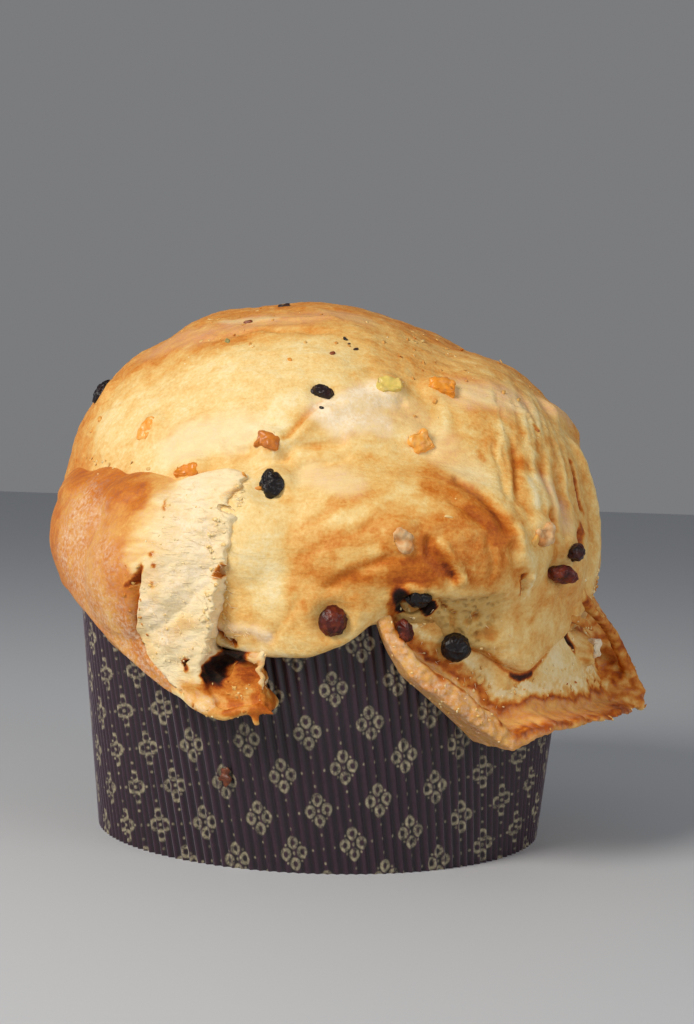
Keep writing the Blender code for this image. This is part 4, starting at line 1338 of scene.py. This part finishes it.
def make_fruit(names, piece_name, start, sculpt, tints, growth):
    """Lays a rounded or a cut shape in the place of each CAD solid, and gives it its own skin and tint."""
    bm = bmesh.new()
    shade = bm.verts.layers.float.new("tint")
    for number, name in enumerate(names):
        centre, axes, halves = bounding_axes(name)
        part = bmesh.new()
        start(part)
        part.verts.ensure_lookup_table()
        shape = np.array([vert.co for vert in part.verts])
        normals = np.array([vert.normal for vert in part.verts])
        sizes = halves * growth
        spread = normals / sizes
        spread /= np.linalg.norm(spread, axis=1)[:, None]
        points = shape * sizes + spread * sculpt(shape * sizes, number)[:, None]
        points = points @ axes + centre
        for vert, point in zip(part.verts, points):
            vert.co = Vector(point) * MM
        mesh = bpy.data.meshes.new(name)
        part.to_mesh(mesh)
        part.free()
        known = len(bm.verts)
        bm.from_mesh(mesh)
        bpy.data.meshes.remove(mesh)
        for vert in added_since(bm, known):
            vert[shade] = tints[name]
    return object_from(bm, piece_name)


def round_shape(bm):
    """A ball, for a dried grape."""
    bmesh.ops.create_icosphere(bm, subdivisions=5, radius=1)
    bm.normal_update()


def cut_shape(bm):
    """A cube with softened edges, for what a knife has cut."""
    bmesh.ops.create_cube(bm, size=2)
    bmesh.ops.bevel(bm, geom=bm.edges[:], offset=0.3, segments=2, profile=0.5, affect="EDGES", material=-1)
    bmesh.ops.subdivide_edges(bm, edges=bm.edges, cuts=9, use_grid_fill=True)
    bm.normal_update()


def wrinkles(points, number):
    """How far a raisin's skin folds out and in: long folds, folds across them, and a bent body."""
    long_folds = 1 - 2.6 * np.abs(grain(points * (1, 1, 0.45), 2.6, 31 + number))
    cross_folds = 1 - 2.6 * np.abs(grain(points, 1.5, 51 + number))
    return 0.50 * long_folds + 0.26 * cross_folds + 0.7 * grain(points, 6.0, 71 + number) - 0.45


def crumbly(points, number):
    """How far candied peel swells and sinks."""
    return 1.3 * grain(points, 3.6, 91 + number) + 0.5 * grain(points, 1.4, 92 + number)


def broken(points, number):
    """How far a chopped nut's faces are broken."""
    return 2.2 * grain(points, 4.2, 96 + number) + 0.6 * grain(points, 1.5, 98 + number)


# From dark to red for the raisins; from brown over orange to citron for the peel; from toasted to pale for the nuts.
RAISIN_TINTS = {
    "raisin_1": 0.0, "raisin_2": 0.1, "raisin_3": 0.05, "raisin_4": 0.75, "raisin_5": 1.0, "raisin_6": 0.3,
    "raisin_7": 0.0, "raisin_8": 0.8, "raisin_9": 0.0,
}
PEEL_TINTS = {"peel_1": 0.5, "peel_2": 0.62, "peel_3": 0.58, "peel_4": 0.38, "peel_5": 0.94, "peel_6": 0.26}
NUT_TINTS = {"nut_1": 0.22, "nut_2": 0.3, "nut_3": 0.6}


def raisin_skin():
    """Dried grape: a wrinkled, sticky, near-black skin with a wine-red glow where it is thin."""
    made, tree, shader = new_material("dried_raisin_skin")
    place = node(tree, "TexCoord", output="Object")
    tint = node(tree, "Attribute", output="Fac", attribute_name="tint")

    # The colour swings in patches of 4 mm, over a grain of 0.7 mm.
    patch = node(tree, "TexNoise", {"Vector": place, "Scale": 260.0, "Detail": 4.0})
    dark = node(tree, "MixRGB", {0: patch, 1: linear("#070506"), 2: linear("#1C1216")})
    red = node(tree, "ValToRGB", {0: patch}, stops=((0.32, "#2A0B08"), (0.5, "#5E1D10"), (0.66, "#8C3A1C")))
    skin = node(tree, "MixRGB", {0: tint, 1: dark, 2: red})
    fine = node(tree, "TexNoise", {"Vector": place, "Scale": 1500.0, "Detail": 3.0})
    bump = node(tree, "Bump", {"Height": fine, "Distance": 0.0003, "Strength": 0.5})
    fill(tree, shader, {"Base Color": skin, "Roughness": 0.34, "Normal": bump, "Specular IOR Level": 0.35})
    return made


def tinted_fruit(name, scale, detail, swing, stops, rough):
    """A fruit's material: each piece's own tint picks its colour, which swings in soft patches. The scale is how many
    of them lie in a metre, so 420 makes them 2.4 mm wide."""
    made, tree, shader = new_material(name)
    place = node(tree, "TexCoord", output="Object")
    tint = node(tree, "Attribute", output="Fac", attribute_name="tint")
    patch = node(tree, "TexNoise", {"Vector": place, "Scale": scale, "Detail": detail})
    middle = node(tree, "Math", {0: patch, 1: 0.5}, operation="SUBTRACT")
    level = node(tree, "Math", {0: middle, 1: swing, 2: tint}, operation="MULTIPLY_ADD")
    fill(tree, shader, {"Base Color": node(tree, "ValToRGB", {0: level}, stops=stops), "Roughness": rough})
    return made


def candied_peel():
    """Candied orange and citron peel: cut dice, translucent, sugary and amber, glossy with syrup."""
    return tinted_fruit("candied_peel", 420.0, 4.0, 0.5, (
        (0.0, "#8A4A1E"), (0.2, "#B96A24"), (0.38, "#DE8420"), (0.52, "#F0982A"), (0.68, "#F5B65A"), (0.86, "#EBCB70"),
        (1.0, "#DCC462"),
    ), 0.35)


def nut_flesh():
    """Chopped nut: dry, cream and matt, toasted at its edges."""
    return tinted_fruit("chopped_nut", 260.0, 4.0, 1.4, (
        (0.1, "#C98646"), (0.35, "#DDB27C"), (0.6, "#E8D2AE"), (0.95, "#F0E2CC"),
    ), 0.7)


def chopped_fruit():
    """Chopped fruit and zest: sticky scraps, from burnt black through amber to the green of citron."""
    return tinted_fruit("chopped_fruit_scraps", 700.0, 3.0, 0.2, (
        (0.0, "#1A0F0A"), (0.2, "#5A2A14"), (0.35, "#A2501C"), (0.52, "#E0922E"), (0.68, "#EBC06A"), (0.82, "#E6CC94"),
        (0.95, "#8E8A52"),
    ), 0.45)


def floor_paint():
    """Matt pale grey paint: an even floor that takes soft shadows."""
    made, tree, shader = new_material("floor_paint")
    fill(tree, shader, {"Base Color": linear("#C9CDD2"), "Roughness": 0.6})
    return made


# The camera's lens and sensor, its place, the way it looks and its upward side.
CAMERA_LENS = 62.2
CAMERA_SENSOR = 36
CAMERA_PLACE = Vector((-3.6, -686.5, 146.4))
CAMERA_FORWARD = Vector((0.01552, 0.99922, -0.03629))
CAMERA_UP = Vector((-0.03398, 0.03681, 0.99874))

# The lamps: place and size in metres, power and colour, all turned to the middle of the panettone; then the room.
LAMPS = {
    "key": ((-0.7, -0.75, 0.8), 0.6, 12, "#FFF8EE"),
    "fill": ((0.9, -0.8, 0.5), 0.9, 4, "#FFFFFF"),
    "side": ((-1.3, 0.1, 0.15), 0.9, 2.4, "#F4F2FF"),
}
LAMP_TARGET = Vector((0, 0, 0.1))
ROOM_COLOUR = "#B3B4B7"
ROOM_LIGHT = 0.44


def make_camera():
    """Sets up the camera that looks at the front."""
    data = bpy.data.cameras.new("camera")
    data.lens = CAMERA_LENS
    data.sensor_width = CAMERA_SENSOR
    camera = bpy.data.objects.new("camera", data)
    bpy.context.scene.collection.objects.link(camera)
    turn = Matrix((CAMERA_FORWARD.cross(CAMERA_UP), CAMERA_UP, -CAMERA_FORWARD)).transposed().to_4x4()
    camera.matrix_world = Matrix.Translation(CAMERA_PLACE * MM) @ turn
    bpy.context.scene.camera = camera


def area_light(name, place, size, power, colour):
    """Hangs a round lamp that shines at the panettone."""
    data = bpy.data.lights.new(name, "AREA")
    data.shape = "DISK"
    data.size = size
    data.energy = power
    data.color = linear(colour)[:3]
    light = bpy.data.objects.new(name, data)
    bpy.context.scene.collection.objects.link(light)
    light.location = place
    light.rotation_euler = (LAMP_TARGET - Vector(place)).to_track_quat("-Z", "Y").to_euler()


def make_studio():
    """Lays the floor, hangs the lamps and lights the room evenly."""
    bm = bmesh.new()
    bmesh.ops.create_grid(bm, x_segments=1, y_segments=1, size=4)
    floor = object_from(bm, "floor")
    floor.data.materials.append(floor_paint())
    for name, lamp in LAMPS.items():
        area_light(name, *lamp)
    world = bpy.data.worlds.new("studio")
    bpy.context.scene.world = world
    world.use_nodes = True
    world.node_tree.nodes["Background"].inputs[0].default_value = linear(ROOM_COLOUR)
    world.node_tree.nodes["Background"].inputs[1].default_value = ROOM_LIGHT
    bpy.context.scene.view_settings.view_transform = "Standard"


def finish_piece(piece, material, slot, *nodes):
    """Gives a piece its one material, and says what it rides on and what it stands in for; the slot is not used."""
    piece.data.materials.clear()
    piece.data.materials.append(material)
    piece.data.shade_smooth()
    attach(piece, "root")
    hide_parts(*nodes)


# Each kind of fruit: its piece's name, its first shape, how that is sculpted, its tints, its growth and its material.
FRUIT_MAKES = {
    "raisin": ("raisins", round_shape, wrinkles, RAISIN_TINTS, 1.06, raisin_skin),
    "peel": ("candied_peel_dice", cut_shape, crumbly, PEEL_TINTS, 1.06, candied_peel),
    "nut": ("nut_pieces", cut_shape, broken, NUT_TINTS, 0.92, nut_flesh),
}

make_camera()
make_studio()
dough = baked_dough()
breads = (make_crown(), make_left_fold(), make_tray())
skin = skin_of(breads)
for piece in (*breads, make_threads(skin), make_flakes(skin), make_crumbs(skin)):
    finish_piece(piece, dough, "crust", "loaf")
finish_piece(make_fruit_bits(skin), chopped_fruit(), "peel", "loaf")
wall, column = make_case_wall()
paper = petal_paper(column)
finish_piece(wall, paper, "case_paper", "case_wall")
finish_piece(make_case_base(), paper, "case_paper", "case_base")
for kind, (*make, look) in FRUIT_MAKES.items():
    finish_piece(make_fruit(FRUIT[kind], *make), look(), kind, *FRUIT[kind])
